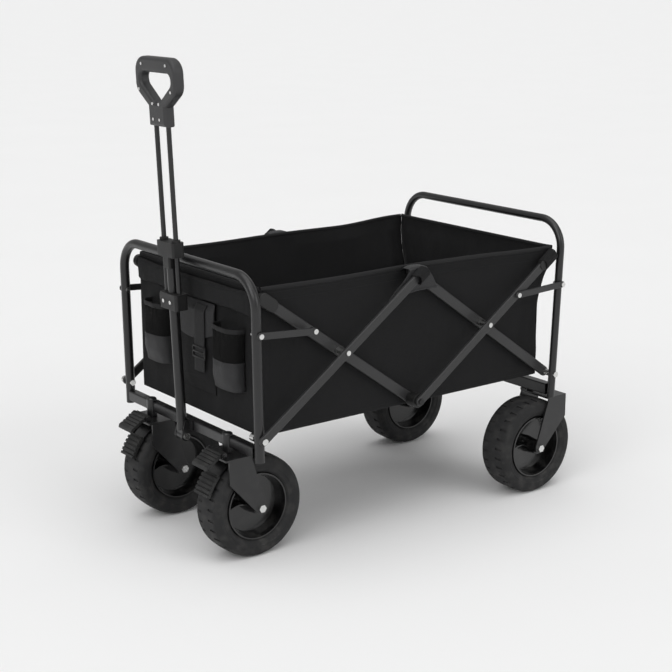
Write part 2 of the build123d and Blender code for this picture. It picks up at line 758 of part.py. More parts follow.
def rim(axle_x, track):
    """Moulded rim: barrel, dished web, hub and curved fins."""
    with BuildPart() as wheel:
        with BuildSketch(Plane.YZ):
            with BuildLine():
                Polyline(
                    (-RIM_W / 2, RIM_R - SEAT),
                    (RIM_W / 2, RIM_R - SEAT),
                    (RIM_W / 2 + 3, RIM_R - 2),
                    (RIM_W / 2 + 3, RIM_R - 5),
                    (RIM_W / 2 - 6, RIM_R - 8),
                    (6, RIM_R - 12),
                    (4, HUB_R + 4),
                    (HUB_W / 2, HUB_R),
                    (HUB_W / 2, AXLE_R + RUN),
                    (-HUB_W / 2, AXLE_R + RUN),
                    (-HUB_W / 2, HUB_R),
                    (-4, HUB_R + 4),
                    (-6, RIM_R - 12),
                    (6 - RIM_W / 2, RIM_R - 8),
                    (-RIM_W / 2 - 3, RIM_R - 5),
                    (-RIM_W / 2 - 3, RIM_R - 2),
                    close=True,
                )
            make_face()
        revolve(axis=Axis.Y)
        with BuildSketch(Plane.XZ.offset(-RIM_W / 2 + 8)):
            with PolarLocations(0, FIN_N):
                with BuildLine() as curve:
                    ThreePointArc((HUB_R - 1, 0), (38, 7), (RIM_R - 8, -3))
                trace(curve.line, line_width=FIN_T)
        extrude(amount=RIM_W - 16)
    return Pos(axle_x, track, axle_z) * wheel.part


WHEELS = {
    "front_left": (FRONT_AXLE_X, FRONT_TRACK_Y),
    "front_right": (FRONT_AXLE_X, -FRONT_TRACK_Y),
    "rear_left": (REAR_AXLE_X, REAR_TRACK_Y),
    "rear_right": (REAR_AXLE_X, -REAR_TRACK_Y),
}
for word, (axle_x, track) in WHEELS.items():
    write(tyre(axle_x, track), f"tyre_{word}")
    write(rim(axle_x, track), f"rim_{word}")


# ---------------------------------------------------------------- pull handle
pole = Plane(
    origin=(HANDLE_X, 0, HANDLE_HINGE_Z),
    x_dir=(cos(radians(HANDLE_LEAN)), 0, -sin(radians(HANDLE_LEAN))),
    z_dir=(sin(radians(HANDLE_LEAN)), 0, cos(radians(HANDLE_LEAN))),
)
pole_side = Plane(origin=pole.origin, x_dir=pole.x_dir, z_dir=(0, -1, 0))  # local y runs up the pole
pole_face = Plane(origin=pole.origin, x_dir=(0, 1, 0), z_dir=pole.x_dir)  # local y runs up the pole
CHEEK_IN = MAIN_TUBE_R + BODY_GAP
CHEEK_T = 3.0
CHEEK_R = 10.5
FLANGE_W = 12.0
HINGE_R = 4.5

with BuildPart() as pole_bracket:
    bracket_back = leg_x(FRONT_LEAN, True, FRONT_CROSS_Z) + FRONT_CROSS[0] / 2 + SEAT
    cheek_y = CHEEK_IN + CHEEK_T
    for flank in (1, -1):
        with BuildSketch(between(flank * CHEEK_IN, flank * cheek_y)):
            with Locations((HANDLE_X, HANDLE_HINGE_Z)):
                Circle(CHEEK_R)
            with Locations((bracket_back + 6, FRONT_CROSS_Z)):
                Rectangle(12, FRONT_CROSS[1])
            make_hull()
            with Locations((HANDLE_X, HANDLE_HINGE_Z)):
                Circle(HINGE_R + RUN, mode=Mode.SUBTRACT)
        extrude(amount=CHEEK_T)
        with BuildSketch(Plane.XY.offset(FRONT_CROSS_Z - FRONT_CROSS[1] / 2)):
            with Locations((bracket_back + CHEEK_T / 2, flank * (cheek_y + FLANGE_W / 2 - 1))):
                Rectangle(CHEEK_T, FLANGE_W + 2)
        extrude(amount=FRONT_CROSS[1])
write(pole_bracket.part, "pole_bracket")

with BuildPart() as main_tube:
    with BuildSketch(pole.offset(14)):
        Circle(MAIN_TUBE_R)
        Circle(MAIN_TUBE_R - TUBE_WALL, mode=Mode.SUBTRACT)
    extrude(amount=BLOCK_AT + 12 - 14)
    with BuildSketch(pole.offset(12)):
        Circle(MAIN_TUBE_R)
    extrude(amount=6)
    with BuildSketch(pole_side.offset(-CHEEK_IN + BODY_GAP / 2)):
        Circle(9.5)
        with Locations((0, 8)):
            Rectangle(15, 14)
        Circle(HINGE_R + RUN, mode=Mode.SUBTRACT)
    extrude(amount=2 * CHEEK_IN - BODY_GAP)
write(main_tube.part, "main_tube")

BLOCK_W = 64.0
BLOCK_T = 28.0
with BuildPart() as pole_block:
    with BuildSketch(pole.offset(BLOCK_AT)):
        RectangleRounded(BLOCK_T, BLOCK_W, 5)
    extrude(amount=BLOCK_H)
    with BuildSketch(pole.offset(BLOCK_AT + BLOCK_H)):
        with Locations((0, rod_y), (0, -rod_y)):
            Circle(ROD_R + 4)
    extrude(amount=5)
    with BuildSketch(pole.offset(BLOCK_AT - BLOCK_SLEEVE)):
        RectangleRounded(26, 26, 4)
    extrude(amount=BLOCK_SLEEVE)
    with BuildSketch(pole.offset(BLOCK_AT - BLOCK_SLEEVE)):
        Circle(MAIN_TUBE_R + SEAT)
    extrude(amount=BLOCK_SLEEVE + 12 + SEAT, mode=Mode.SUBTRACT)
    with BuildSketch(pole.offset(BLOCK_AT)):
        with Locations((0, rod_y), (0, -rod_y)):
            Circle(ROD_R + RUN)
    extrude(amount=BLOCK_H + 5, mode=Mode.SUBTRACT)
write(pole_block.part, "pole_block")

with BuildPart() as slide_rods:
    with BuildSketch(pole.offset(SLIDER_AT + 4)):
        with Locations((0, rod_y), (0, -rod_y)):
            Circle(ROD_R)
    extrude(amount=GRIP_AT + 34 - SLIDER_AT - 4)
write(slide_rods.part, "slide_rods")

SLIDER_W = 64.0
SLIDER_T = 30.0
with BuildPart() as slider:
    with BuildSketch(pole.offset(SLIDER_AT)):
        RectangleRounded(SLIDER_T, SLIDER_W, 6)
    extrude(amount=SLIDER_H)
    with BuildSketch(pole.offset(SLIDER_AT + 12)):
        with Locations((0, -SLIDER_W / 2 - 7)):
            RectangleRounded(12, 20, 4)
    extrude(amount=12)
    with BuildSketch(pole.offset(SLIDER_AT)):
        Circle(MAIN_TUBE_R + RUN)
    extrude(amount=SLIDER_H, mode=Mode.SUBTRACT)
    with BuildSketch(pole.offset(SLIDER_AT + 4)):
        with Locations((0, rod_y), (0, -rod_y)):
            Circle(ROD_R)
    extrude(amount=SLIDER_H, mode=Mode.SUBTRACT)
write(slider.part, "slider")


def grip_outline():
    """Outline of the D-shaped grip in its own plane."""
    half = GRIP_HALF_W + GRIP_WALL / 2
    top = GRIP_AT + GRIP_H
    neck = rod_y + ROD_R + 4
    with BuildSketch() as shape:
        with Locations((half - 30, top - 30), (30 - half, top - 30)):
            Circle(30)
        with Locations((half - 26, top - 52), (26 - half, top - 52)):
            Circle(26)
        with Locations((neck - 8, GRIP_AT + 42), (8 - neck, GRIP_AT + 42)):
            Circle(8)
        make_hull()
        with Locations((0, GRIP_AT + 22)):
            Rectangle(2 * neck, 44)
    return shape.sketch


def grip_opening():
    """Outline of the finger gap."""
    half = GRIP_HALF_W - GRIP_WALL / 2
    top = GRIP_AT + GRIP_H - GRIP_BAR
    with BuildSketch() as shape:
        with Locations((half - 14, top - 14), (14 - half, top - 14)):
            Circle(14)
        with Locations((0, top - 38)):
            Circle(20)
        make_hull()
    return shape.sketch


def depth_of(face):
    """How far a face lies in front of the pole's axis."""
    return (face.center() - pole_face.origin).dot(pole_face.z_dir)


for name, start in (("grip_front_shell", 0.0), ("grip_back_shell", -GRIP_T / 2)):
    with BuildPart() as shell:
        face = pole_face.offset(start)
        extrude(face.from_local_coords(grip_outline()), amount=GRIP_T / 2)
        hole = face.from_local_coords(grip_opening())
        extrude(hole, amount=GRIP_T / 2, mode=Mode.SUBTRACT)
        outer_side = 1 if start == 0 else -1
        outer_face = max(shell.faces().filter_by(face), key=lambda side: outer_side * depth_of(side))
        fillet(outer_face.edges(), 7)
        with BuildSketch(pole.offset(GRIP_AT)):
            with Locations((0, rod_y), (0, -rod_y)):
                Circle(ROD_R)
        extrude(amount=34, mode=Mode.SUBTRACT)
    write(shell.part, name)

GRIP_SCREWS = [(-46, GRIP_H - 14), (46, GRIP_H - 14), (-60, 70), (60, 70), (-12, 44), (12, 44), (-12, 14), (12, 14)]
with BuildPart() as handle_screws:
    for y, height in GRIP_SCREWS:
        with BuildSketch(pole_face.offset(GRIP_T / 2 + SEAT)):
            with Locations((y, GRIP_AT + height)):
                Circle(3)
        extrude(amount=1.2)
    for y in (-13, 13):
        with BuildSketch(pole_face.offset(SLIDER_T / 2 + SEAT)):
            with Locations((y, SLIDER_AT + SLIDER_H / 2)):
                Circle(4)
        extrude(amount=2.4)
write(handle_screws.part, "handle_screws")


# ---------------------------------------------------------------- bolts and rivets in the two frames
with BuildPart() as front_frame_bolts:
    leg_in = FRONT_LEG_Y - FRONT_TUBE_R
    for side in SIDES.values():
        # pivot bolt: head outside the bar on the left, black cap nut on every right-hand end
        head = (outer_y1 + SEAT, outer_y1 + BOLT_HEAD_H, BOLT_HEAD_R)
        outer_cap = (outer_y1 + SEAT, outer_y1 + NUT_CAP_L / 2, NUT_CAP_R)
        inner_cap = (leg_in - NUT_CAP_L, leg_in - SEAT, NUT_CAP_R)
        inner_head = (leg_in - BOLT_HEAD_H, leg_in - SEAT, BOLT_HEAD_R)
        shank = (leg_in - SEAT, outer_y1 + SEAT, BOLT_R)
        ends = [head, inner_cap] if side > 0 else [outer_cap, inner_head]
        pin(side, pivot_x, PIVOT_Z, ends + [shank])
        link_out = front_link_y0 + LINK_T
        pin(
            side,
            front_link_x,
            front_link_z,
            [
                (leg_in - RIVET_HEAD_H, leg_in - SEAT, RIVET_HEAD_R),
                (leg_in - SEAT, link_out + SEAT, RIVET_R),
                (link_out + SEAT, link_out + RIVET_HEAD_H, RIVET_HEAD_R),
            ],
        )
    hinge_steps = [
        (-cheek_y - BOLT_HEAD_H, -cheek_y - SEAT, BOLT_HEAD_R),
        (-cheek_y - SEAT, cheek_y + SEAT, HINGE_R),
        (cheek_y + SEAT, cheek_y + 5, 7.5),
    ]
    for y_from, y_to, radius in hinge_steps:
        with BuildSketch(between(y_from, y_to)):
            with Locations((HANDLE_X, HANDLE_HINGE_Z)):
                Circle(radius)
        extrude(amount=y_to - y_from)
write(front_frame_bolts.part, "front_frame_bolts")

with BuildPart() as rear_frame_bolts:
    leg_in = REAR_LEG_Y - REAR_TUBE_R
    leg_out = REAR_LEG_Y + REAR_TUBE_R
    for side in SIDES.values():
        pin(
            side,
            -pivot_x,
            PIVOT_Z,
            [
                (inner_y0 - BOLT_HEAD_H, inner_y0 - SEAT, BOLT_HEAD_R),
                (inner_y0 - SEAT, leg_out + SEAT, BOLT_R),
                (inner_y1 + SEAT, leg_in - SEAT, spacer_r),
                (leg_out + SEAT, leg_out + BOLT_HEAD_H, BOLT_HEAD_R),
            ],
        )
        link_out = rear_link_y0 + LINK_T
        pin(
            side,
            rear_link_x,
            rear_link_z,
            [
                (leg_in - RIVET_HEAD_H, leg_in - SEAT, RIVET_HEAD_R),
                (leg_in - SEAT, link_out + SEAT, RIVET_R),
                (link_out + SEAT, link_out + RIVET_HEAD_H, RIVET_HEAD_R),
            ],
        )
write(rear_frame_bolts.part, "rear_frame_bolts")


# ---------------------------------------------------------------- bag
def panel(name, low, high, hole=None):
    """Plain fabric panel between two corners, with an optional pocket hollow."""
    with BuildPart() as cloth:
        with BuildSketch(Plane.XY.offset(low[2])):
            with Locations(((low[0] + high[0]) / 2, (low[1] + high[1]) / 2)):
                Rectangle(high[0] - low[0], high[1] - low[1])
        extrude(amount=high[2] - low[2])
        if hole:
            with BuildSketch(Plane.XY.offset(hole[0][2])):
                with Locations(((hole[0][0] + hole[1][0]) / 2, (hole[0][1] + hole[1][1]) / 2)):
                    Rectangle(hole[1][0] - hole[0][0], hole[1][1] - hole[0][1])
            extrude(amount=hole[1][2] - hole[0][2], mode=Mode.SUBTRACT)
    write(cloth.part, name)


panel(
    "bag_floor",
    (-BAG_HALF_X, -bag_side_y, BAG_FLOOR_Z - 5),
    (BAG_HALF_X, bag_side_y, BAG_FLOOR_Z),
)
for word, side in SIDES.items():
    wall = sorted((side * (bag_side_y - FABRIC_T), side * bag_side_y))
    panel(
        f"bag_side_{word}",
        (-BAG_HALF_X + SEAT, wall[0], BAG_FLOOR_Z + SEAT),
        (BAG_HALF_X - SEAT, wall[1], BAG_RIM_Z),
    )
end_half_y = bag_side_y - FABRIC_T - SEAT
panel(
    "bag_front_panel",
    (BAG_HALF_X - FABRIC_T, -end_half_y, BAG_FLOOR_Z + SEAT),
    (BAG_HALF_X, end_half_y, BAG_RIM_Z),
)
panel(
    "bag_rear_panel",
    (-BAG_HALF_X - SEAT - FABRIC_T, -bag_side_y, BAG_FLOOR_Z - 5),
    (-BAG_HALF_X - SEAT, bag_side_y, BAG_RIM_Z),
)
band_x = BAG_HALF_X + SEAT
with BuildPart() as front_band:
    with BuildSketch(Plane.XY.offset(BAG_RIM_Z - BAND_H)):
        with Locations((band_x + BAND_T / 2, 0)):
            RectangleRounded(BAND_T, 2 * bag_side_y - 8, 5)
    extrude(amount=BAND_H)
write(front_band.part, "front_band")

CUP_Y = bag_side_y - CUP_IN
CUP_Z = (POCKET_Z, POCKET_Z + CUP_H)
with BuildPart() as cup_pockets:
    for side in SIDES.values():
        with BuildSketch(Plane.XY.offset(CUP_Z[0])):
            with Locations((band_x + POCKET_DEPTH / 2, side * CUP_Y)):
                RectangleRounded(POCKET_DEPTH, CUP_W, 12)
        extrude(amount=CUP_Z[1] - CUP_Z[0])
        with BuildSketch(Plane.XY.offset(CUP_Z[0] + FABRIC_T)):
            with Locations((band_x + POCKET_DEPTH / 2, side * CUP_Y)):
                RectangleRounded(POCKET_DEPTH - 2 * FABRIC_T, CUP_W - 2 * FABRIC_T, 9)
        extrude(amount=CUP_Z[1] - CUP_Z[0], mode=Mode.SUBTRACT)
write(cup_pockets.part, "cup_pockets")

CENTRE_TOP = POCKET_Z + CENTRE_H
hollow_low = (band_x + FABRIC_T, FABRIC_T - CENTRE_HALF_W, POCKET_Z + FABRIC_T)
hollow_high = (band_x + CENTRE_DEPTH - FABRIC_T, CENTRE_HALF_W - FABRIC_T, CENTRE_TOP)
panel(
    "centre_pocket",
    (band_x, -CENTRE_HALF_W, POCKET_Z),
    (band_x + CENTRE_DEPTH, CENTRE_HALF_W, CENTRE_TOP),
    (hollow_low, hollow_high),
)
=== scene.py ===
"""Camp wagon: cloth bag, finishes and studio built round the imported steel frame.

Metres throughout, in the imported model's own frame: +X is the handle end, +Y is the wagon's
left and the floor is at zero height.
"""
import json
import logging
import math
from dataclasses import dataclass
from enum import Enum
from typing import Callable, Iterable, Sequence

import bmesh
import bpy
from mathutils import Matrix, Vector, noise


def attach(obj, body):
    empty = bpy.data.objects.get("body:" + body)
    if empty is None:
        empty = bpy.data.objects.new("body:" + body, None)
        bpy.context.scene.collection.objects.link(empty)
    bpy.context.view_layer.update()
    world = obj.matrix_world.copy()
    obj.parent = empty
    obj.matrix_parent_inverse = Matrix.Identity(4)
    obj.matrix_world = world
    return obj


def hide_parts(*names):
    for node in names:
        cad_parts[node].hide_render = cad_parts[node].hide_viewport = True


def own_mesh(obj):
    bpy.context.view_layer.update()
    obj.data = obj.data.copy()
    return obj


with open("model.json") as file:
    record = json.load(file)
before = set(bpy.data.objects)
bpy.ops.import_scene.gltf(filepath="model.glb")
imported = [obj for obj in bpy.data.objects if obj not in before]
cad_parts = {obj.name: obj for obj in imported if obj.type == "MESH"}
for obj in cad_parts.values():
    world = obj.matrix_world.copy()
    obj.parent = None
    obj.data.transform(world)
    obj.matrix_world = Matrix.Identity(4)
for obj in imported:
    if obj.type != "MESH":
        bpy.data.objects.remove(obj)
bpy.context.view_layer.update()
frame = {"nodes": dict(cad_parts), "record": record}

LOG = logging.getLogger("camp_wagon")
Surface = Callable[[float, float], Vector]
Colour = tuple[float, float, float]


# ---------------------------------------------------------------- small sums
def ease(share: float) -> float:
    """Smooth step from 0 to 1."""
    share = min(max(share, 0.0), 1.0)
    return share * share * (3 - 2 * share)


def between(low: float, high: float, share: float) -> float:
    """Value that lies a share of the way from low to high."""
    return low + (high - low) * share


def ripple(place: Vector, scale: Sequence[float], seed: float) -> float:
    """Smooth noise from -1 to 1, stretched by a size in metres along each axis."""
    return noise.noise(Vector([place[i] / scale[i] + seed for i in range(3)]))


def toned(shade: Colour, factor: float) -> Colour:
    """Colour with every part multiplied by a factor."""
    return tuple(part * factor for part in shade)


def traced(
    point: Callable[[float], Vector], steps: int, lift: Sequence[float], margin: int = 0
) -> list[Vector]:
    """Line of points along a curve, lifted off it.

    Args:
        point: the curve, from 0 to 1.
        steps: steps along the whole curve.
        lift: how far each point is moved along X, Y and Z.
        margin: steps left out at each end.

    Returns:
        The points in order.
    """
    return [point(k / steps) + Vector(lift) for k in range(margin, steps + 1 - margin)]


# ---------------------------------------------------------------- node wiring
class Wiring:
    """Adds nodes to one tree and joins them."""

    def __init__(self, tree: bpy.types.NodeTree) -> None:
        """Keep the tree that the nodes go into."""
        self.tree = tree

    def node(self, kind: str, **fields: object) -> bpy.types.Node:
        """Add a node and set its own fields."""
        made = self.tree.nodes.new(kind)
        for name, value in fields.items():
            setattr(made, name, value)
        return made

    def feed(self, socket: bpy.types.NodeSocket, value: object) -> None:
        """Link another node's socket into this one, or set this one to a constant."""
        if isinstance(value, bpy.types.NodeSocket):
            self.tree.links.new(value, socket)
        else:
            socket.default_value = value

    def math(self, operation: str, *values: object) -> bpy.types.NodeSocket:
        """Result of a math node.

        Args:
            operation: Blender's name for the sum.
            values: sockets or numbers, in the node's order.

        Returns:
            The node's output.
        """
        made = self.node("ShaderNodeMath", operation=operation)
        for socket, value in zip(made.inputs, values):
            self.feed(socket, value)
        return made.outputs[0]

    def spread(self, value: object, low: float, high: float, to_low: float, to_high: float):
        """Value mapped smoothly from one range to another."""
        made = self.node("ShaderNodeMapRange", interpolation_type="SMOOTHSTEP")
        for socket, number in zip(made.inputs, (value, low, high, to_low, to_high)):
            self.feed(socket, number)
        return made.outputs[0]

    def mix(self, share: object, first: object, second: object) -> bpy.types.NodeSocket:
        """Colour mixed from two colours by a share."""
        made = self.node("ShaderNodeMix", data_type="RGBA")
        self.feed(made.inputs[0], share)
        for socket, colour in ((made.inputs[6], first), (made.inputs[7], second)):
            self.feed(socket, (*colour, 1) if isinstance(colour, tuple) else colour)
        return made.outputs[2]

    def noise(self, vector: object, scale: object, detail: float = 3.0):
        """Grey noise at a scale per metre."""
        made = self.node("ShaderNodeTexNoise")
        self.feed(made.inputs["Vector"], vector)
        self.feed(made.inputs["Scale"], scale)
        made.inputs["Detail"].default_value = detail
        return made.outputs["Fac"]

    def place(self, kind: str) -> bpy.types.NodeSocket:
        """Object or UV coordinates."""
        return self.node("ShaderNodeTexCoord").outputs[kind]

    def stretched(self, vector: object, scale: Sequence[float], shift: Sequence[float] = (0, 0, 0)):
        """Coordinates moved and then scaled along each axis."""
        made = self.node("ShaderNodeMapping")
        self.feed(made.inputs["Vector"], vector)
        made.inputs["Scale"].default_value = scale
        made.inputs["Location"].default_value = shift
        return made.outputs[0]

    def parts(self, vector: object) -> list[bpy.types.NodeSocket]:
        """The three parts of a vector."""
        made = self.node("ShaderNodeSeparateXYZ")
        self.feed(made.inputs[0], vector)
        return list(made.outputs)

    def shared(self, effect: bpy.types.NodeTree, **values: object) -> bpy.types.Node:
        """Place a shared effect and fill its named inputs."""
        made = self.node("ShaderNodeGroup", node_tree=effect)
        for name, value in values.items():
            self.feed(made.inputs[name], value)
        return made


def new_effect(name: str, inputs: dict[str, str], outputs: dict[str, str]):
    """Start a shared shader effect.

    Args:
        name: name of the effect.
        inputs: socket type by input name, as the end of Blender's socket class name.
        outputs: the same for its outputs.

    Returns:
        The tree, its wiring, its input node and its output node.
    """
    tree = bpy.data.node_groups.new(name, "ShaderNodeTree")
    for way, sockets in (("INPUT", inputs), ("OUTPUT", outputs)):
        for label, kind in sockets.items():
            tree.interface.new_socket(label, in_out=way, socket_type="NodeSocket" + kind)
    wiring = Wiring(tree)
    return tree, wiring, wiring.node("NodeGroupInput"), wiring.node("NodeGroupOutput")


# ---------------------------------------------------------------- shared effects
class Effects:
    """The shader effects that several finishes share, each built once."""

    def __init__(self) -> None:
        """Build every effect."""
        self.weave = self._weave()
        self.grain = self._grain()
        self.dust = self._dust()
        self.rubs = self._rubs()

    @staticmethod
    def _weave() -> bpy.types.NodeTree:
        """Plain weave: rounded threads that pass over and under each other, with a tone of thread height
        times slub noise, which paints the hollows between threads darker as shade.
        """
        tree, wire, given, out = new_effect(
            "plain weave",
            {"Vector": "Vector", "Threads": "Float"},
            {"Height": "Float", "Slub And Painted Shade": "Float"},
        )
        u, v, _ = wire.parts(given.outputs["Vector"])
        u = wire.math("MULTIPLY", u, given.outputs["Threads"])
        v = wire.math("MULTIPLY", v, given.outputs["Threads"])
        warp = wire.math("ABSOLUTE", wire.math("SINE", wire.math("MULTIPLY", u, math.pi)))
        weft = wire.math("ABSOLUTE", wire.math("SINE", wire.math("MULTIPLY", v, math.pi)))
        count = wire.math("ADD", wire.math("FLOOR", u), wire.math("FLOOR", v))
        over = wire.math("PINGPONG", count, 1.0)
        pick = wire.node("ShaderNodeMix", data_type="FLOAT")
        for socket, value in zip(pick.inputs[:1] + pick.inputs[2:4], (over, warp, weft)):
            wire.feed(socket, value)
        slub = wire.noise(wire.stretched(given.outputs["Vector"], (1, 14, 1)), 90.0, 2.0)
        wire.feed(out.inputs["Height"], pick.outputs[0])
        # Tone is thread height times slub noise: painted shade darkens the hollows between threads, and the
        # slub is real yarn variation.
        wire.feed(out.inputs["Slub And Painted Shade"], wire.math("MULTIPLY", pick.outputs[0], slub))
        return tree

    @staticmethod
    def _grain() -> bpy.types.NodeTree:
        """Fine grain of a coat or moulding, with broad uneven patches."""
        tree, wire, given, out = new_effect(
            "surface grain",
            {"Vector": "Vector", "Scale": "Float"},
            {"Height": "Float", "Patch": "Float"},
        )
        fine = wire.noise(given.outputs["Vector"], given.outputs["Scale"], 2.0)
        wire.feed(out.inputs["Height"], fine)
        wire.feed(out.inputs["Patch"], wire.noise(given.outputs["Vector"], 11.0, 4.0))
        return tree

    @staticmethod
    def _dust() -> bpy.types.NodeTree:
        """Pale dust that settles on upward faces and low down."""
        tree, wire, given, out = new_effect(
            "settled dust", {"Vector": "Vector", "Amount": "Float"}, {"Mask": "Float"}
        )
        up = wire.parts(wire.node("ShaderNodeNewGeometry").outputs["Normal"])[2]
        low = wire.spread(wire.parts(given.outputs["Vector"])[2], 0.0, 0.3, 0.7, 0.0)
        lie = wire.math("ADD", wire.spread(up, 0.2, 1.0, 0.0, 0.6), low)
        speck = wire.spread(wire.noise(given.outputs["Vector"], 46.0, 6.0), 0.42, 0.72, 0.0, 1.0)
        mask = wire.math("MULTIPLY", wire.math("MULTIPLY", lie, speck), given.outputs["Amount"])
        wire.feed(out.inputs["Mask"], mask)
        return tree

    @staticmethod
    def _rubs() -> bpy.types.NodeTree:
        """Short faint marks where a surface has been handled."""
        tree, wire, given, out = new_effect(
            "handling marks", {"Vector": "Vector", "Amount": "Float"}, {"Mask": "Float"}
        )
        drawn = wire.stretched(given.outputs["Vector"], (1.0, 1.0, 0.16))
        lines = wire.spread(wire.noise(drawn, 310.0, 3.0), 0.64, 0.74, 0.0, 1.0)
        where = wire.spread(wire.noise(given.outputs["Vector"], 17.0, 2.0), 0.5, 0.7, 0.0, 1.0)
        mask = wire.math("MULTIPLY", wire.math("MULTIPLY", lines, where), given.outputs["Amount"])
        wire.feed(out.inputs["Mask"], mask)
        return tree


# ---------------------------------------------------------------- finishes
@dataclass(frozen=True)
class Finish:
    """A hard finish: coat, plating, moulding or rubber."""

    name: str
    shade: Colour
    rough: float
    metal: float = 0.0
    gloss_coat: float = 0.0
    grain_per_m: float = 900.0
    relief: float = 0.0002
    dust: float = 0.25
    marks: float = 0.4
    shine: float = 0.4

    def material(self, effects: Effects) -> bpy.types.Material:
        """Build the material.

        Args:
            effects: the shared shader effects.

        Returns:
            The finished material.
        """
        made = bpy.data.materials.new(self.name)
        made.use_nodes = True
        wire = Wiring(made.node_tree)
        shader = made.node_tree.nodes["Principled BSDF"]
        self.dress(wire, shader, effects)
        shader.inputs["Specular IOR Level"].default_value = self.shine
        return made

    def dress(self, wire: Wiring, shader: bpy.types.Node, effects: Effects) -> None:
        """Join the finish's colour, roughness and relief to the shader."""
        place = wire.place("Object")
        grain = wire.shared(effects.grain, Vector=place, Scale=self.grain_per_m)
        dust = wire.shared(effects.dust, Vector=place, Amount=self.dust)
        rubs = wire.shared(effects.rubs, Vector=place, Amount=self.marks)
        patch, mask = grain.outputs["Patch"], dust.outputs["Mask"]
        base = wire.mix(patch, toned(self.shade, 0.82), toned(self.shade, 1.22))
        rubbed = wire.mix(rubs.outputs["Mask"], base, tuple(part * 1.7 + 0.02 for part in self.shade))
        wire.feed(shader.inputs["Base Color"], wire.mix(mask, rubbed, (0.17, 0.165, 0.155)))
        worn = wire.spread(patch, 0.3, 0.7, self.rough * 0.86, self.rough * 1.14)
        wire.feed(shader.inputs["Roughness"], wire.math("ADD", worn, wire.math("MULTIPLY", mask, 0.3)))
        shader.inputs["Metallic"].default_value = self.metal
        shader.inputs["Coat Weight"].default_value = self.gloss_coat
        shader.inputs["Coat Roughness"].default_value = 0.22
        self.raise_grain(wire, shader, grain.outputs["Height"], self.relief)

    @staticmethod
    def raise_grain(wire: Wiring, shader: bpy.types.Node, height: object, depth: float) -> None:
        """Turn a height into the shader's normal."""
        bump = wire.node("ShaderNodeBump")
        bump.inputs["Distance"].default_value = depth
        bump.inputs["Strength"].default_value = 0.6
        wire.feed(bump.inputs["Height"], height)
        wire.feed(shader.inputs["Normal"], bump.outputs[0])


@dataclass(frozen=True)
class TyreFinish(Finish):
    """Dull rubber with fine moulded rings on the sidewalls of one axle's tyres."""

    axle: tuple[float, float] = (0.0, 0.0)

    def dress(self, wire: Wiring, shader: bpy.types.Node, effects: Effects) -> None:
        """Join the rubber's colour, roughness and moulded rings to the shader."""
        place = wire.place("Object")
        grain = wire.shared(effects.grain, Vector=place, Scale=self.grain_per_m)
        dust = wire.shared(effects.dust, Vector=place, Amount=self.dust)
        x, _, z = wire.parts(wire.stretched(place, (1, 1, 1), (-self.axle[0], 0, -self.axle[1])))
        radius = wire.math("SQRT", wire.math("ADD", wire.math("POWER", x, 2.0), wire.math("POWER", z, 2.0)))
        side = wire.math("ABSOLUTE", wire.parts(wire.node("ShaderNodeNewGeometry").outputs["Normal"])[1])
        wave = wire.math("SINE", wire.math("MULTIPLY", radius, 2 * math.pi / 0.0021))
        rings = wire.math("MULTIPLY", wave, wire.spread(side, 0.7, 0.95, 0.0, 1.0))
        ringed = wire.math("MULTIPLY", rings, wire.spread(radius, 0.083, 0.086, 0.0, 0.5))
        tread = wire.spread(side, 0.1, 0.6, 1.0, 0.0)
        patch = grain.outputs["Patch"]
        base = wire.mix(patch, toned(self.shade, 0.8), toned(self.shade, 1.2))
        scuffed = wire.mix(wire.math("MULTIPLY", tread, patch), base, toned(self.shade, 1.6))
        wire.feed(shader.inputs["Base Color"], wire.mix(dust.outputs["Mask"], scuffed, (0.15, 0.145, 0.135)))
        worn = wire.spread(patch, 0.2, 0.8, self.rough - 0.08, self.rough + 0.08)
        wire.feed(shader.inputs["Roughness"], worn)
        height = wire.math("ADD", grain.outputs["Height"], ringed)
        self.raise_grain(wire, shader, height, self.relief)


@dataclass(frozen=True)
class ClothFinish(Finish):
    """Coated woven cloth; its threads follow the flat cut kept in the UV map."""

    threads_per_m: float = 1150.0
    sheen: float = 0.25

    def dress(self, wire: Wiring, shader: bpy.types.Node, effects: Effects) -> None:
        """Join the weave, its uneven dye, the painted shade in its thread hollows and its sheen to the
        shader.
        """
        cut, place = wire.place("UV"), wire.place("Object")
        weave = wire.shared(effects.weave, Vector=cut, Threads=self.threads_per_m)
        grain = wire.shared(effects.grain, Vector=place, Scale=self.grain_per_m)
        dust = wire.shared(effects.dust, Vector=place, Amount=self.dust)
        slub_and_shade = weave.outputs["Slub And Painted Shade"]
        dyed = wire.mix(grain.outputs["Patch"], toned(self.shade, 0.78), toned(self.shade, 1.25))
        # Painted shade: thread crowns lighter and hollows darker by weave height, mixed with real slub and
        # dye patches.
        thread = wire.mix(wire.math("MULTIPLY", slub_and_shade, 0.8), dyed, toned(self.shade, 1.9))
        wire.feed(shader.inputs["Base Color"], wire.mix(dust.outputs["Mask"], thread, (0.12, 0.117, 0.11)))
        worn = wire.spread(slub_and_shade, 0.0, 0.7, self.rough + 0.08, self.rough - 0.08)
        wire.feed(shader.inputs["Roughness"], worn)
        shader.inputs["Sheen Weight"].default_value = self.sheen
        shader.inputs["Sheen Roughness"].default_value = 0.45
        crumple = wire.math("MULTIPLY", wire.noise(place, 38.0, 5.0), 1.6)
        self.raise_grain(wire, shader, wire.math("ADD", weave.outputs["Height"], crumple), self.relief)


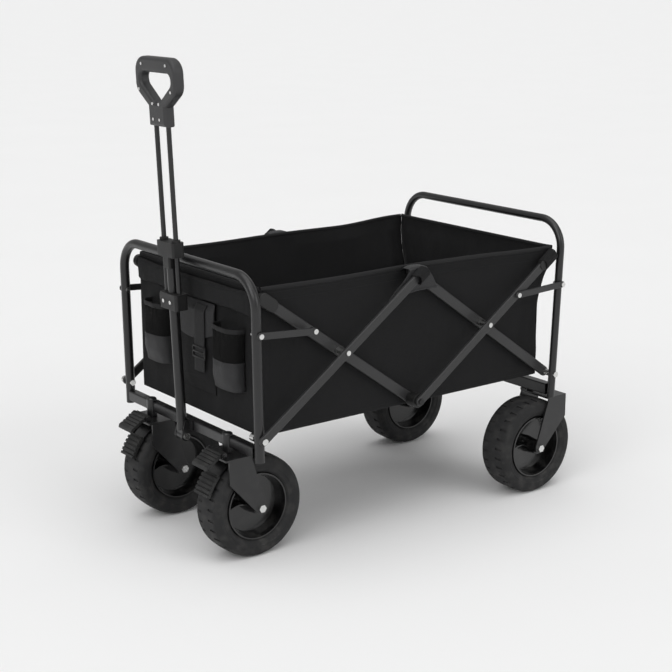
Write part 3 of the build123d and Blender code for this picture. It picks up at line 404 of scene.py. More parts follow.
@dataclass(frozen=True)
class NetFinish(Finish):
    """Open knitted net, see-through between its strands."""

    holes_per_m: float = 420.0

    def dress(self, wire: Wiring, shader: bpy.types.Node, effects: Effects) -> None:
        """Join the net's holes and strand relief to the shader."""
        cut = wire.place("UV")
        u, v, _ = wire.parts(cut)
        row = wire.math("SINE", wire.math("MULTIPLY", u, math.pi * self.holes_per_m))
        line = wire.math("SINE", wire.math("MULTIPLY", v, math.pi * self.holes_per_m * 0.8))
        depth = wire.math("ABSOLUTE", wire.math("MULTIPLY", row, line))
        grain = wire.shared(effects.grain, Vector=wire.place("Object"), Scale=self.grain_per_m)
        strand = wire.mix(grain.outputs["Patch"], self.shade, toned(self.shade, 1.7))
        wire.feed(shader.inputs["Base Color"], strand)
        wire.feed(shader.inputs["Alpha"], wire.spread(depth, 0.48, 0.6, 1.0, 0.0))
        worn = wire.spread(grain.outputs["Height"], 0.2, 0.8, self.rough - 0.1, self.rough + 0.1)
        wire.feed(shader.inputs["Roughness"], worn)
        self.raise_grain(wire, shader, wire.math("SUBTRACT", 1.0, depth), self.relief)


class Slot(Enum):
    """The record's material slots."""

    FRAME = "frame_paint"
    BAR = "bar_paint"
    BOLT = "bolt_steel"
    MOULDED = "moulded_black"
    GRIP = "grip_black"
    TYRE = "tyre_rubber"
    RIM = "rim_gloss"
    CLOTH = "bag_fabric"
    NET = "pocket_mesh"


FRONT_AXLE = (0.353, 0.108)
REAR_AXLE = (-0.3626, 0.108)
FINISHES: dict[Slot, Finish] = {
    Slot.FRAME: Finish(
        "frame powder coat", (0.0075, 0.0075, 0.008), 0.34, gloss_coat=0.3, grain_per_m=1400.0, dust=0.1
    ),
    Slot.BAR: Finish(
        "bar powder coat", (0.021, 0.021, 0.0215), 0.42, gloss_coat=0.1, grain_per_m=1500.0, dust=0.12
    ),
    Slot.BOLT: Finish(
        "zinc plate", (0.66, 0.66, 0.65), 0.26, metal=1.0, relief=0.00005, dust=0.1, marks=0.2
    ),
    Slot.MOULDED: Finish(
        "grained moulding", (0.0085, 0.0085, 0.0085), 0.46, grain_per_m=2600.0, relief=0.00025, dust=0.12
    ),
    Slot.GRIP: Finish(
        "satin grip moulding", (0.034, 0.034, 0.035), 0.42, grain_per_m=3000.0, marks=0.6, dust=0.1
    ),
    Slot.RIM: Finish(
        "glossy rim moulding", (0.003, 0.003, 0.0032), 0.16, gloss_coat=0.5, relief=0.00004, dust=0.1
    ),
    Slot.CLOTH: ClothFinish(
        "coated oxford cloth",
        (0.0088, 0.0088, 0.0092),
        0.7,
        relief=0.00035,
        dust=0.03,
        shine=0.14,
        sheen=0.02,
    ),
    Slot.NET: NetFinish("knitted pocket net", (0.006, 0.006, 0.006), 0.8, relief=0.0004, shine=0.1),
}
TRIM = ClothFinish(
    "woven edge tape",
    (0.0135, 0.0135, 0.014),
    0.6,
    threads_per_m=620.0,
    relief=0.0003,
    dust=0.03,
    shine=0.2,
    sheen=0.03,
)
# Paler cloth of the pouches and the pocket flap. The joint flaps also use it as a lighter copy of the bag
# cloth: painted light on their upward faces.
LINING_AND_LIT_CLOTH = ClothFinish(
    "pouch cloth and painted lit flap",
    (0.0175, 0.0175, 0.0185),
    0.48,
    threads_per_m=1500.0,
    relief=0.00025,
    dust=0.03,
    shine=0.3,
    sheen=0.04,
)
THREAD = Finish(
    "sewing thread", (0.022, 0.022, 0.0225), 0.7, grain_per_m=4200.0, relief=0.0001, dust=0.0, shine=0.2
)


class Paints:
    """Every finished material, ready to hand out."""

    def __init__(self) -> None:
        """Build the shared effects and all materials."""
        effects = Effects()
        self.by_slot = {slot: finish.material(effects) for slot, finish in FINISHES.items()}
        self.tyres = {
            axle: TyreFinish(
                f"{axle} tyre rubber",
                (0.021, 0.021, 0.0215),
                0.74,
                axle=place,
                relief=0.0005,
                dust=0.22,
                shine=0.2,
            ).material(effects)
            for axle, place in (("front", FRONT_AXLE), ("rear", REAR_AXLE))
        }
        self.cloth = self.by_slot[Slot.CLOTH]
        self.trim = TRIM.material(effects)
        self.lining_and_lit_cloth = LINING_AND_LIT_CLOTH.material(effects)
        self.thread = THREAD.material(effects)

    def dress_steelwork(self) -> None:
        """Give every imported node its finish."""
        slots = {row["node"]: Slot(row["material_slot"]) for row in frame["record"]["subparts"]}
        for name, node in frame["nodes"].items():
            if slots[name] is Slot.TYRE:
                paint = self.tyres["front" if "front" in name else "rear"]
            else:
                paint = self.by_slot[slots[name]]
            for place in node.material_slots:
                place.material = paint
            LOG.info("dressed %s", name)


# ---------------------------------------------------------------- making meshes
def new_piece(
    name: str, corners: Iterable[Vector], faces: Iterable[Sequence[int]], paint: bpy.types.Material
) -> bpy.types.Object:
    """Object at the origin from corners and faces, smooth shaded.

    Args:
        name: name of the piece.
        corners: its points.
        faces: point numbers of each face.
        paint: its material.

    Returns:
        The new object.
    """
    mesh = bpy.data.meshes.new(name)
    mesh.from_pydata([tuple(corner) for corner in corners], [], [tuple(face) for face in faces])
    mesh.materials.append(paint)
    mesh.polygons.foreach_set("use_smooth", [True] * len(mesh.polygons))
    made = bpy.data.objects.new(name, mesh)
    bpy.context.scene.collection.objects.link(made)
    return made


def settle(piece: bpy.types.Object) -> bpy.types.Object:
    """Turn a piece's modifiers into a plain mesh."""
    graph = bpy.context.evaluated_depsgraph_get()
    mesh = bpy.data.meshes.new_from_object(
        piece.evaluated_get(graph), preserve_all_data_layers=True, depsgraph=graph
    )
    piece.modifiers.clear()
    piece.data = mesh
    mesh.polygons.foreach_set("use_smooth", [True] * len(mesh.polygons))
    return piece


def face_outwards(piece: bpy.types.Object) -> None:
    """Make a closed piece's faces point outwards."""
    shape = bmesh.new()
    shape.from_mesh(piece.data)
    bmesh.ops.remove_doubles(shape, verts=shape.verts, dist=1e-6)
    bmesh.ops.recalc_face_normals(shape, faces=shape.faces)
    shape.to_mesh(piece.data)
    shape.free()


@dataclass
class Cloth:
    """A sheet of cloth laid on a surface, with its flat cut as the UV map."""

    name: str
    surface: Surface
    flat: tuple[float, float]
    cells: tuple[int, int]
    paint: bpy.types.Material
    thick: float = 0.0016
    turned: bool = False
    gap: Callable[[Vector], bool] | None = None

    def make(self) -> bpy.types.Object:
        """Lay the grid and give it its thickness, on the inner side of its faces."""
        across, along = self.cells
        corners = [self.surface(i / across, j / along) for j in range(along + 1) for i in range(across + 1)]
        faces = []
        for j in range(along):
            for i in range(across):
                first = j * (across + 1) + i
                face = (first, first + 1, first + across + 2, first + across + 1)
                middle = sum((corners[k] for k in face), Vector()) / 4
                if self.gap is None or not self.gap(middle):
                    faces.append(tuple(reversed(face)) if self.turned else face)
        piece = new_piece(self.name, corners, faces, self.paint)
        layer = piece.data.uv_layers.new(name="cut")
        for loop in piece.data.loops:
            row, column = divmod(loop.vertex_index, across + 1)
            layer.data[loop.index].uv = (column / across * self.flat[0], row / along * self.flat[1])
        body = piece.modifiers.new("cloth", "SOLIDIFY")
        body.thickness = self.thick
        body.offset = -1
        return settle(piece)


# ---------------------------------------------------------------- sewing with geometry nodes
class Sewing:
    """Geometry trees for stitches and edge tape, and the pieces that they make."""

    def __init__(self, paints: Paints) -> None:
        """Build both trees."""
        self.paints = paints
        self.stitch_tree = self._stitches()
        self.tape_tree = self._tape()

    @staticmethod
    def _start(name: str, sizes: Sequence[str]):
        """New geometry tree with a geometry input, named sizes, a material and an output."""
        tree = bpy.data.node_groups.new(name, "GeometryNodeTree")
        tree.interface.new_socket("Geometry", in_out="INPUT", socket_type="NodeSocketGeometry")
        for size in sizes:
            tree.interface.new_socket(size, in_out="INPUT", socket_type="NodeSocketFloat")
        tree.interface.new_socket("Material", in_out="INPUT", socket_type="NodeSocketMaterial")
        tree.interface.new_socket("Geometry", in_out="OUTPUT", socket_type="NodeSocketGeometry")
        wire = Wiring(tree)
        return tree, wire, wire.node("NodeGroupInput"), wire.node("NodeGroupOutput")

    @staticmethod
    def _end(wire: Wiring, shape: bpy.types.NodeSocket, given: bpy.types.Node, out: bpy.types.Node) -> None:
        """Realize the instances, set the material and send the shape out."""
        real = wire.node("GeometryNodeRealizeInstances")
        wire.feed(real.inputs[0], shape)
        paint = wire.node("GeometryNodeSetMaterial")
        wire.feed(paint.inputs["Geometry"], real.outputs[0])
        wire.feed(paint.inputs["Material"], given.outputs["Material"])
        wire.feed(out.inputs["Geometry"], paint.outputs[0])

    def _stitches(self) -> bpy.types.NodeTree:
        """Short rounded stitches, evenly spaced along every line of the input."""
        tree, wire, given, out = self._start("running stitch", ("Spacing", "Length", "Thickness"))
        line = wire.node("GeometryNodeMeshToCurve")
        wire.feed(line.inputs["Mesh"], given.outputs["Geometry"])
        steps = wire.node("GeometryNodeResampleCurve", mode="LENGTH")
        wire.feed(steps.inputs["Curve"], line.outputs[0])
        wire.feed(steps.inputs["Length"], given.outputs["Spacing"])
        ball = wire.node("GeometryNodeMeshUVSphere")
        ball.inputs["Segments"].default_value = 6
        ball.inputs["Rings"].default_value = 4
        ball.inputs["Radius"].default_value = 0.5
        size = wire.node("ShaderNodeCombineXYZ")
        for socket, name in zip(size.inputs, ("Thickness", "Thickness", "Length")):
            wire.feed(socket, given.outputs[name])
        lay = wire.node("GeometryNodeInputTangent")
        turn = wire.node("FunctionNodeAlignRotationToVector", axis="Z")
        wire.feed(turn.inputs["Vector"], lay.outputs[0])
        dots = wire.node("GeometryNodeInstanceOnPoints")
        wire.feed(dots.inputs["Points"], steps.outputs[0])
        wire.feed(dots.inputs["Instance"], ball.outputs["Mesh"])
        wire.feed(dots.inputs["Rotation"], turn.outputs[0])
        wire.feed(dots.inputs["Scale"], size.outputs[0])
        self._end(wire, dots.outputs[0], given, out)
        return tree

    def _tape(self) -> bpy.types.NodeTree:
        """Rounded edge tape that follows every line of the input."""
        tree, wire, given, out = self._start("edge tape", ("Width", "Thickness", "Step"))
        line = wire.node("GeometryNodeMeshToCurve")
        wire.feed(line.inputs["Mesh"], given.outputs["Geometry"])
        steps = wire.node("GeometryNodeResampleCurve", mode="LENGTH")
        wire.feed(steps.inputs["Curve"], line.outputs[0])
        wire.feed(steps.inputs["Length"], given.outputs["Step"])
        upright = wire.node("GeometryNodeSetCurveNormal", mode="Z_UP")
        wire.feed(upright.inputs[0], steps.outputs[0])
        ring = wire.node("GeometryNodeCurvePrimitiveCircle", mode="RADIUS")
        ring.inputs["Resolution"].default_value = 10
        ring.inputs["Radius"].default_value = 0.5
        size = wire.node("ShaderNodeCombineXYZ")
        wire.feed(size.inputs[0], given.outputs["Thickness"])
        wire.feed(size.inputs[1], given.outputs["Width"])
        flat = wire.node("GeometryNodeTransform")
        wire.feed(flat.inputs["Geometry"], ring.outputs["Curve"])
        wire.feed(flat.inputs["Scale"], size.outputs[0])
        tube = wire.node("GeometryNodeCurveToMesh")
        wire.feed(tube.inputs["Curve"], upright.outputs[0])
        wire.feed(tube.inputs["Profile Curve"], flat.outputs[0])
        tube.inputs["Fill Caps"].default_value = True
        self._end(wire, tube.outputs[0], given, out)
        return tree

    def _run(self, name: str, lines: Sequence[Sequence[Vector]], tree, paint, sizes: dict[str, float]):
        """Make one piece from lines of points and a geometry tree.

        Args:
            name: name of the piece.
            lines: the lines that it follows.
            tree: the geometry tree.
            paint: its material.
            sizes: the tree's named sizes.

        Returns:
            The plain mesh piece.
        """
        corners, edges = [], []
        for line in lines:
            edges += [(len(corners) + k, len(corners) + k + 1) for k in range(len(line) - 1)]
            corners += [tuple(point) for point in line]
        mesh = bpy.data.meshes.new(name)
        mesh.from_pydata(corners, edges, [])
        piece = bpy.data.objects.new(name, mesh)
        bpy.context.scene.collection.objects.link(piece)
        work = piece.modifiers.new("sew", "NODES")
        work.node_group = tree
        for item in tree.interface.items_tree:
            if item.in_out == "INPUT" and item.name in sizes:
                work[item.identifier] = sizes[item.name]
            if item.in_out == "INPUT" and item.name == "Material":
                work[item.identifier] = paint
        settle(piece)
        if not piece.data.materials:
            piece.data.materials.append(paint)
        face_outwards(piece)
        return piece

    def stitches(self, name: str, lines: Sequence[Sequence[Vector]], spacing: float = 0.0046):
        """Rows of stitches along lines of points."""
        sizes = {"Spacing": spacing, "Length": 0.0034, "Thickness": 0.0008}
        return self._run(name, lines, self.stitch_tree, self.paints.thread, sizes)

    def tape(self, name: str, lines: Sequence[Sequence[Vector]], width: float = 0.009, thick: float = 0.0042):
        """Edge tape along lines of points."""
        sizes = {"Width": width, "Thickness": thick, "Step": 0.008}
        return self._run(name, lines, self.tape_tree, self.paints.trim, sizes)


# ---------------------------------------------------------------- the bag
@dataclass
class Bag:
    """Cloth bag that hangs in the scissor bars: sides, floor mat, rear, front and rim tape."""

    paints: Paints
    sewing: Sewing
    front_x: float = 0.3742
    rear_x: float = -0.3765
    side_y: float = 0.2294
    floor_z: float = 0.2735
    rim_height: float = 0.5685
    roof_z: float = 0.5738
    folded_share: float = 0.356

    def fold_with_frame(self, piece: bpy.types.Object) -> None:
        """Attach a piece to the bag's body so that it moves with the bag, and give it its own mesh."""
        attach(piece, "bag")
        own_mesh(piece)
        LOG.info("made %s", piece.name)

    def rim_z(self, x: float) -> float:
        """Height of the rim, which sags a little between the corners and the middle joints."""
        return self.rim_height - 0.002 * math.sin(math.pi * min(abs(x) / 0.375, 1.0)) ** 2

    @staticmethod
    def flare(x: float, z: float) -> float:
        """How far the cloth leans out to the caps over its rear top corners."""
        return 0.0300 * ease((-x - 0.15) / 0.21) * ease((z - 0.43) / 0.13)

    def rear_edge_x(self, y: float, z: float) -> float:
        """X of the rear edges, which waver low down and reach the caps at the rim."""
        waver = 0.0035 + 0.0035 * ripple(Vector((0, y, z)), (1, 0.4, 0.045), 3.0)
        return self.rear_x + between(waver, -0.0055, ease((z - 0.5) / 0.06))

    def side_point(self, side: int, u: float, v: float) -> Vector:
        """Point of a side panel's outer face: u runs to the rear and v up."""
        z = between(self.floor_z, self.rim_height, v)
        x = between(self.front_x, self.rear_edge_x(side, z), u)
        z = between(self.floor_z, self.rim_z(x), v)
        held = min(v / 0.12, 1.0) * min((1 - v) / 0.1, 1.0) * min(u / 0.05, 1.0) * min((1 - u) / 0.04, 1.0)
        place = Vector((x, side * 0.6, z))
        slack = 0.0052 * (0.55 + ripple(place, (0.16, 1, 0.2), 1.7))
        slack += 0.0022 * (0.5 + ripple(place, (0.05, 1, 0.16), 5.1))
        near_end = max(ease(1 - u / 0.16), ease(1 - (1 - u) / 0.14))
        slack += 0.0045 * near_end * (0.5 + ripple(place, (0.022, 1, 0.3), 8.4))
        return Vector((x, side * (self.side_y + self.flare(x, z) - max(slack, 0.0) * held), z))

    def rim_line(self, side: int, inset: float = 0.0, steps: int = 120) -> list[Vector]:
        """Line along a side's rim, or a little under it on the outer face."""
        line = []
        for k in range(steps + 1):
            u = between(0.004, 0.997, k / steps)
            if inset:
                point = self.side_point(side, u, 1 - inset / 0.29)
                line.append(point + Vector((0, side * 0.0004, 0)))
            else:
                point = self.side_point(side, u, 1.0)
                line.append(point + Vector((0, -side * 0.0008, 0.0006)))
        return line

    def sides(self) -> None:
        """Both side panels with rim tape and rows of stitches."""
        for word, side in (("left", 1), ("right", -1)):
            panel = Cloth(
                f"bag_side_cloth_{word}",
                lambda u, v, s=side: self.side_point(s, u, v),
                (0.752, 0.31),
                (190, 72),
                self.paints.cloth,
                turned=side < 0,
            ).make()
            tape = self.sewing.tape(f"rim_tape_{word}", [self.rim_line(side)])
            rows = [self.rim_line(side, 0.0085), self.rim_line(side, 0.024)]
            hem = traced(lambda u, s=side: self.side_point(s, u, 0.03), 90, (0, side * 0.0004, 0), 1)
            rows.append(hem[1:])
            thread = self.sewing.stitches(f"side_stitching_{word}", rows)
            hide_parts(f"bag_side_{word}")
            for piece in (panel, tape, thread):
                self.fold_with_frame(piece)

    def gusset_point(self, side: int, u: float, v: float) -> Vector:
        """Point of the flap that goes over an inner bar's end and hangs between the bars."""
        roof = 0.3
        if v < roof:
            out = v / roof
            x = between(0.024, -0.024, u)
            z = between(self.rim_height - 0.001, self.roof_z, ease(out * 3))
            z -= 0.0035 * ease((out - 0.86) / 0.14)
            z -= 0.004 * abs(2 * u - 1) ** 3
            return Vector((x, side * between(self.side_y - 0.001, 0.2612, out), z))
        down = (v - roof) / (1 - roof)
        x = between(between(0.024, 0.072, down), between(-0.024, -0.058, down), u)
        top = self.roof_z - 0.0035 - 0.004 * abs(2 * u - 1) ** 3
        z = between(top, between(0.509, 0.521, u) + 0.004 * math.sin(math.pi * u), down)
        y = 0.2612 - 0.009 * ease((0.552 - z) / 0.04)
        y -= 0.002 * ripple(Vector((x, side, z)), (0.03, 1, 0.03), 2.2) * down
        return Vector((x, side * y, z))

    def gussets(self) -> None:
        """The flaps over the middle joints, each with a hole for the joint's spacer."""
        for word, side in (("left", 1), ("right", -1)):
            flap = Cloth(
                f"joint_flap_{word}",
                lambda u, v, s=side: self.gusset_point(s, u, v),
                (0.12, 0.096),
                (56, 48),
                # Painted light: the bag cloth of this flap is given the paler pouch cloth so that its upward
                # face reads lighter.
                self.paints.lining_and_lit_cloth,
                thick=0.0012,
                turned=side > 0,
                gap=lambda p: math.hypot(p.x, p.z - 0.5602) < 0.0092,
            ).make()
            hem = traced(lambda u, s=side: self.gusset_point(s, u, 0.94), 30, (0, side * 0.0004, 0))
            thread = self.sewing.stitches(f"flap_stitching_{word}", [hem])
            for piece in (flap, thread):
                self.fold_with_frame(piece)

    def rear_point(self, u: float, v: float) -> Vector:
        """Point of the rear panel's outer face: u runs to the left and v up."""
        z = between(self.floor_z, self.rim_height, v)
        half = self.side_y + self.flare(self.rear_x, z)
        y = between(-half, half, u)
        edge = min(u, 1 - u) * 2 * half
        held = min(v / 0.1, 1.0) * min((1 - v) / 0.12, 1.0)
        x = self.rear_edge_x(math.copysign(1, y), z) - 0.0035 * ease(1 - edge / 0.02)
        place = Vector((0, y, z))
        slack = 0.006 * (0.5 + ripple(place, (1, 0.1, 0.2), 4.4))
        slack += 0.003 * ripple(place, (1, 0.03, 0.15), 6.1)
        return Vector((x + max(slack, 0.0) * held * ease(edge / 0.05), y, z))

    def rear(self) -> None:
        """Rear panel with its rim tape."""
        panel = Cloth(
            "bag_rear_cloth", self.rear_point, (0.475, 0.295), (110, 64), self.paints.cloth, turned=True
        ).make()
        line = traced(lambda u: self.rear_point(u, 1.0), 60, (0.0008, 0, 0.0006))
        tape = self.sewing.tape("rim_tape_rear", [line])
        heights = (0.972, 0.92, 0.03)
        rows = [traced(lambda u, v=v: self.rear_point(u, v), 80, (-0.0004, 0, 0), 1) for v in heights]
        thread = self.sewing.stitches("rear_stitching", rows)
        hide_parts("bag_rear_panel")
        for piece in (panel, tape, thread):
            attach(piece, "bag_rear")
            LOG.info("made %s", piece.name)

    def front_point(self, u: float, v: float) -> Vector:
        """Point of the front panel's outer face: u runs to the right and v up."""
        y = between(self.side_y - 0.0025, -self.side_y + 0.0025, u)
        z = between(self.floor_z, self.rim_height, v)
        held = min(v / 0.1, 1.0) * min((1 - v) / 0.2, 1.0) * ease(min(u, 1 - u) / 0.06)
        place = Vector((0, y, z))
        slack = 0.005 * (0.5 + ripple(place, (1, 0.14, 0.18), 7.7))
        slack += 0.002 * ripple(place, (1, 0.03, 0.12), 2.9)
        return Vector((self.front_x + 0.0006 - max(slack, 0.0) * held, y, z))

    def front(self) -> None:
        """Front panel behind the band and pockets."""
        panel = Cloth(
            "bag_front_cloth", self.front_point, (0.455, 0.295), (110, 64), self.paints.cloth
        ).make()
        line = traced(lambda u: self.front_point(u, 1.0), 60, (-0.0008, 0, 0.0006))
        tape = self.sewing.tape("rim_tape_front", [line])
        heights = (0.03, 0.05)
        rows = [traced(lambda u, v=v: self.front_point(u, v), 80, (0.0004, 0, 0), 1) for v in heights]
        thread = self.sewing.stitches("front_stitching", rows)
        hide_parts("bag_front_panel")
        for piece in (panel, tape, thread):
            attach(piece, "bag")
            LOG.info("made %s", piece.name)

    def mat(self) -> None:
        """Floor mat: stiff boards sewn into cloth, crowned between its cross seams."""
        half_x, half_y, boards = 0.3725, 0.2268, 4

        def height(x: float, y: float) -> float:
            """Crown of one board, pinched at its seams and edges."""
            along = (x + half_x) / (2 * half_x) * boards % 1.0
            seam = min(along, 1 - along) * 2 * half_x / boards
            edge = min(half_x - abs(x), half_y - abs(y))
            return 0.0028 * ease(seam / 0.012) * ease(edge / 0.012) + 0.0004

        def upper(u: float, v: float) -> Vector:
            """Upper face of the mat."""
            x, y = between(-half_x, half_x, u), between(-half_y, half_y, v)
            uneven = 0.0003 * ripple(Vector((x, y, 0)), (0.05, 0.05, 1), 1.0)
            return Vector((x, y, 0.2742 + height(x, y) + uneven))

        mat = Cloth("floor_mat", upper, (0.745, 0.4536), (180, 96), self.paints.cloth, thick=0.0018).make()
        perimeter = [(half_x, -half_y), (half_x, half_y), (-half_x, half_y), (-half_x, -half_y)]
        perimeter.append(perimeter[0])
        hem = []
        for (x0, y0), (x1, y1) in zip(perimeter, perimeter[1:]):
            start, end = Vector((x0, y0, 0.2738)), Vector((x1, y1, 0.2738))
            hem.append(traced(lambda u, a=start, b=end: a.lerp(b, u), 60, (0, 0, 0)))
        tape = self.sewing.tape("floor_tape", hem, width=0.0032, thick=0.0036)
        seams = []
        for step in (0, 1, 2):
            x = between(-half_x, half_x, (step + 1) / boards)
            share = (x + half_x) / (2 * half_x)
            seams.append(traced(lambda v, u=share: upper(u, v), 60, (0, 0, 0.0003), 2))
        thread = self.sewing.stitches("mat_stitching", seams)
        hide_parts("bag_floor")
        for piece in (mat, tape, thread):
            self.fold_with_frame(piece)


# ---------------------------------------------------------------- padded band
@dataclass
class FrontBand:
    """Padded fold of cloth along the top of the front panel."""

    paints: Paints
    sewing: Sewing
    half_y: float = 0.2265
    x_in: float = 0.3762
    x_out: float = 0.3868
    z_low: float = 0.513
    z_high: float = 0.566

    def make(self) -> None:
        """Shape the band, let the cloth swell and sew a row of stitches along its front."""
        across, up = 130, 12
        rings = []
        for k in range(across + 1):
            y = between(-self.half_y, self.half_y, k / across)
            end = ease((self.half_y - abs(y)) / 0.012)
            mid_z, mid_x = (self.z_low + self.z_high) / 2, (self.x_in + self.x_out) / 2
            tall = (self.z_high - self.z_low) / 2 * between(0.82, 0.96, end)
            deep = (self.x_out - self.x_in) / 2 * between(0.25, 0.8, end)
            ring = []
            for j in range(2 * up):
                turn = math.pi * j / up
                out = math.copysign(abs(math.cos(turn)) ** 0.6, math.cos(turn))
                rise = math.copysign(abs(math.sin(turn)) ** 0.7, math.sin(turn))
                ring.append(Vector((mid_x + deep * out, y, mid_z + tall * rise)))
            rings.append(ring)
        corners = [point for ring in rings for point in ring]
        count = 2 * up
        faces = []
        for k in range(across):
            here, ahead = k * count, (k + 1) * count
            for j in range(count):
                after = (j + 1) % count
                faces.append((here + j, here + after, ahead + after, ahead + j))
        faces += [tuple(range(count)), tuple(reversed(range(across * count, (across + 1) * count)))]
        band = new_piece("padded_band", corners, faces, self.paints.cloth)
        face_outwards(band)
        self.swell(band)
        self.fold_line(band)
        self.lay_cut(band)
        start = Vector((self.x_out + 0.0006, -0.222, self.z_low + 0.008))
        seam = traced(lambda u: start + Vector((0, 0.444 * u, 0)), 90, (0, 0, 0))
        thread = self.sewing.stitches("band_stitching", self.onto(band, [seam]))
        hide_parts("front_band")
        for piece in (band, thread):
            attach(piece, "bag")
            LOG.info("made %s", piece.name)

    def swell(self, band: bpy.types.Object) -> None:
        """Remesh the band and let cloth pressure puff it, within a cap.

        Args:
            band: the band; its mesh is replaced.
        """
        remesh = band.modifiers.new("even", "REMESH")
        remesh.mode = "VOXEL"
        remesh.voxel_size = 0.0036
        settle(band)
        start = [corner.co.copy() for corner in band.data.vertices]
        cloth = band.modifiers.new("cloth", "CLOTH")
        cloth.settings.use_pressure = True
        cloth.settings.uniform_pressure_force = 3.2
        cloth.settings.effector_weights.gravity = 0
        cloth.settings.quality = 4
        cloth.settings.bending_stiffness = 0.6
        cloth.point_cache.frame_start, cloth.point_cache.frame_end = 1, 16
        for step in range(1, 17):
            bpy.context.scene.frame_set(step)
        settle(band)
        bpy.context.scene.frame_set(1)
        for corner, was in zip(band.data.vertices, start):
            move = corner.co - was
            if move.length > 0.003:
                corner.co = was + move.normalized() * 0.003

    def fold_line(self, band: bpy.types.Object) -> None:
        """Press gathers and a sag into the band and keep it inside its room."""
        for corner in band.data.vertices:
            place = corner.co
            flat = Vector((0, place.y, place.z))
            crease = ripple(flat, (1, 0.02, 0.09), 9.1) + ripple(flat, (1, 0.07, 0.03), 3.3)
            if place.x > 0.379:
                place.x += 0.0013 * crease
            sag = 0.0025 * math.cos(place.y / self.half_y * math.pi / 2)
            place.z -= sag + 0.0015 * ripple(Vector((0, place.y, 0)), (1, 0.05, 1), 1.3)
            place.x = min(max(place.x, self.x_in - 0.0003), 0.3886)
            place.y = min(max(place.y, -0.2292), 0.2292)

    @staticmethod
    def lay_cut(band: bpy.types.Object) -> None:
        """Lay the cloth's threads along the band."""
        layer = band.data.uv_layers.new(name="cut")
        for loop in band.data.loops:
            place = band.data.vertices[loop.vertex_index].co
            layer.data[loop.index].uv = (place.y, place.z + place.x)

    @staticmethod
    def onto(band: bpy.types.Object, lines: Sequence[Sequence[Vector]]) -> list[list[Vector]]:
        """Drop lines onto the front of the band."""
        dropped = []
        for line in lines:
            found = [band.ray_cast(point + Vector((0.05, 0, 0)), Vector((-1, 0, 0))) for point in line]
            dropped.append([hit + Vector((0.0002, 0, 0)) for ok, hit, _, _ in found if ok])
        return dropped


# ---------------------------------------------------------------- pockets
@dataclass
class CupPocket:
    """Round-fronted pocket: net above a cloth pouch, with elastic along its mouth."""

    paints: Paints
    sewing: Sewing
    side: int
    word: str
    middle_y: float = 0.135
    half_w: float = 0.0445
    deep: float = 0.034
    foot_z: float = 0.353
    seam_z: float = 0.409
    mouth_z: float = 0.477
    back_x: float = 0.3762

    def wall(self, u: float, z: float, grow: float = 0.0) -> Vector:
        """Point of the pocket's wall: u runs round it from the outside to the middle."""
        turn = math.pi * (u - 0.5)
        rise = (z - self.foot_z) / (self.mouth_z - self.foot_z)
        deep = (self.deep + grow) * (1 - 0.12 * rise - 0.25 * ease(1 - rise / 0.25))
        deep *= 1 + 0.07 * ripple(Vector((u, self.side, z)), (0.17, 1, 0.04), 4.0)
        half = self.half_w + grow - 0.0015 * math.sin(math.pi * rise)
        y = -self.side * half * math.copysign(abs(math.sin(turn)) ** 0.75, math.sin(turn))
        x = self.back_x + deep * abs(math.cos(turn)) ** 0.62
        gather = 0.0011 * math.sin(u * 74) * ease((rise - 0.8) / 0.2)
        return Vector((x + gather, self.side * self.middle_y + y, z))

    def pouch_point(self, u: float, v: float) -> Vector:
        """Point of the pouch, whose first rows close its bottom."""
        if v < 0.14:
            rim = self.wall(u, self.foot_z, 0.0006)
            centre = Vector((self.back_x + 0.004, self.side * self.middle_y, self.foot_z - 0.0006))
            return centre.lerp(rim, 0.08 + 0.92 * v / 0.14)
        z = between(self.foot_z, self.seam_z + 0.004, (v - 0.14) / 0.86)
        return self.wall(u, z, 0.0006)

    def make(self) -> None:
        """Make the net, the pouch, the mouth's elastic and the stitches."""
        net = Cloth(
            f"cup_net_{self.word}",
            lambda u, v: self.wall(u, between(self.seam_z, self.mouth_z, v)),
            (0.15, 0.08),
            (72, 24),
            self.paints.by_slot[Slot.NET],
            thick=0.0007,
            turned=self.side > 0,
        ).make()
        pouch = Cloth(
            f"cup_pouch_{self.word}",
            self.pouch_point,
            (0.15, 0.074),
            (72, 44),
            self.paints.lining_and_lit_cloth,
            thick=0.0012,
            turned=self.side > 0,
        ).make()
        mouth = [self.wall(k / 60, self.mouth_z, 0.0003) for k in range(61)]
        elastic = self.sewing.tape(f"cup_elastic_{self.word}", [mouth], width=0.010, thick=0.003)
        rows = [[self.wall(k / 60, z, 0.001) for k in range(61)] for z in (self.seam_z, self.seam_z - 0.005)]
        thread = self.sewing.stitches(f"cup_stitching_{self.word}", rows)
        for piece in (net, pouch, elastic, thread):
            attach(piece, "bag")
            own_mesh(piece)
            LOG.info("made %s", piece.name)
        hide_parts("cup_pockets")


BUCKLE_BARS = (
    (0, 0.011, 0.048, 0.004),
    (0, 0, 0.048, 0.004),
    (0, -0.011, 0.048, 0.004),
    (0.0225, 0, 0.004, 0.026),
    (-0.0225, 0, 0.004, 0.026),
)  # sideways and upward place of each bar of the buckle, then its width and height


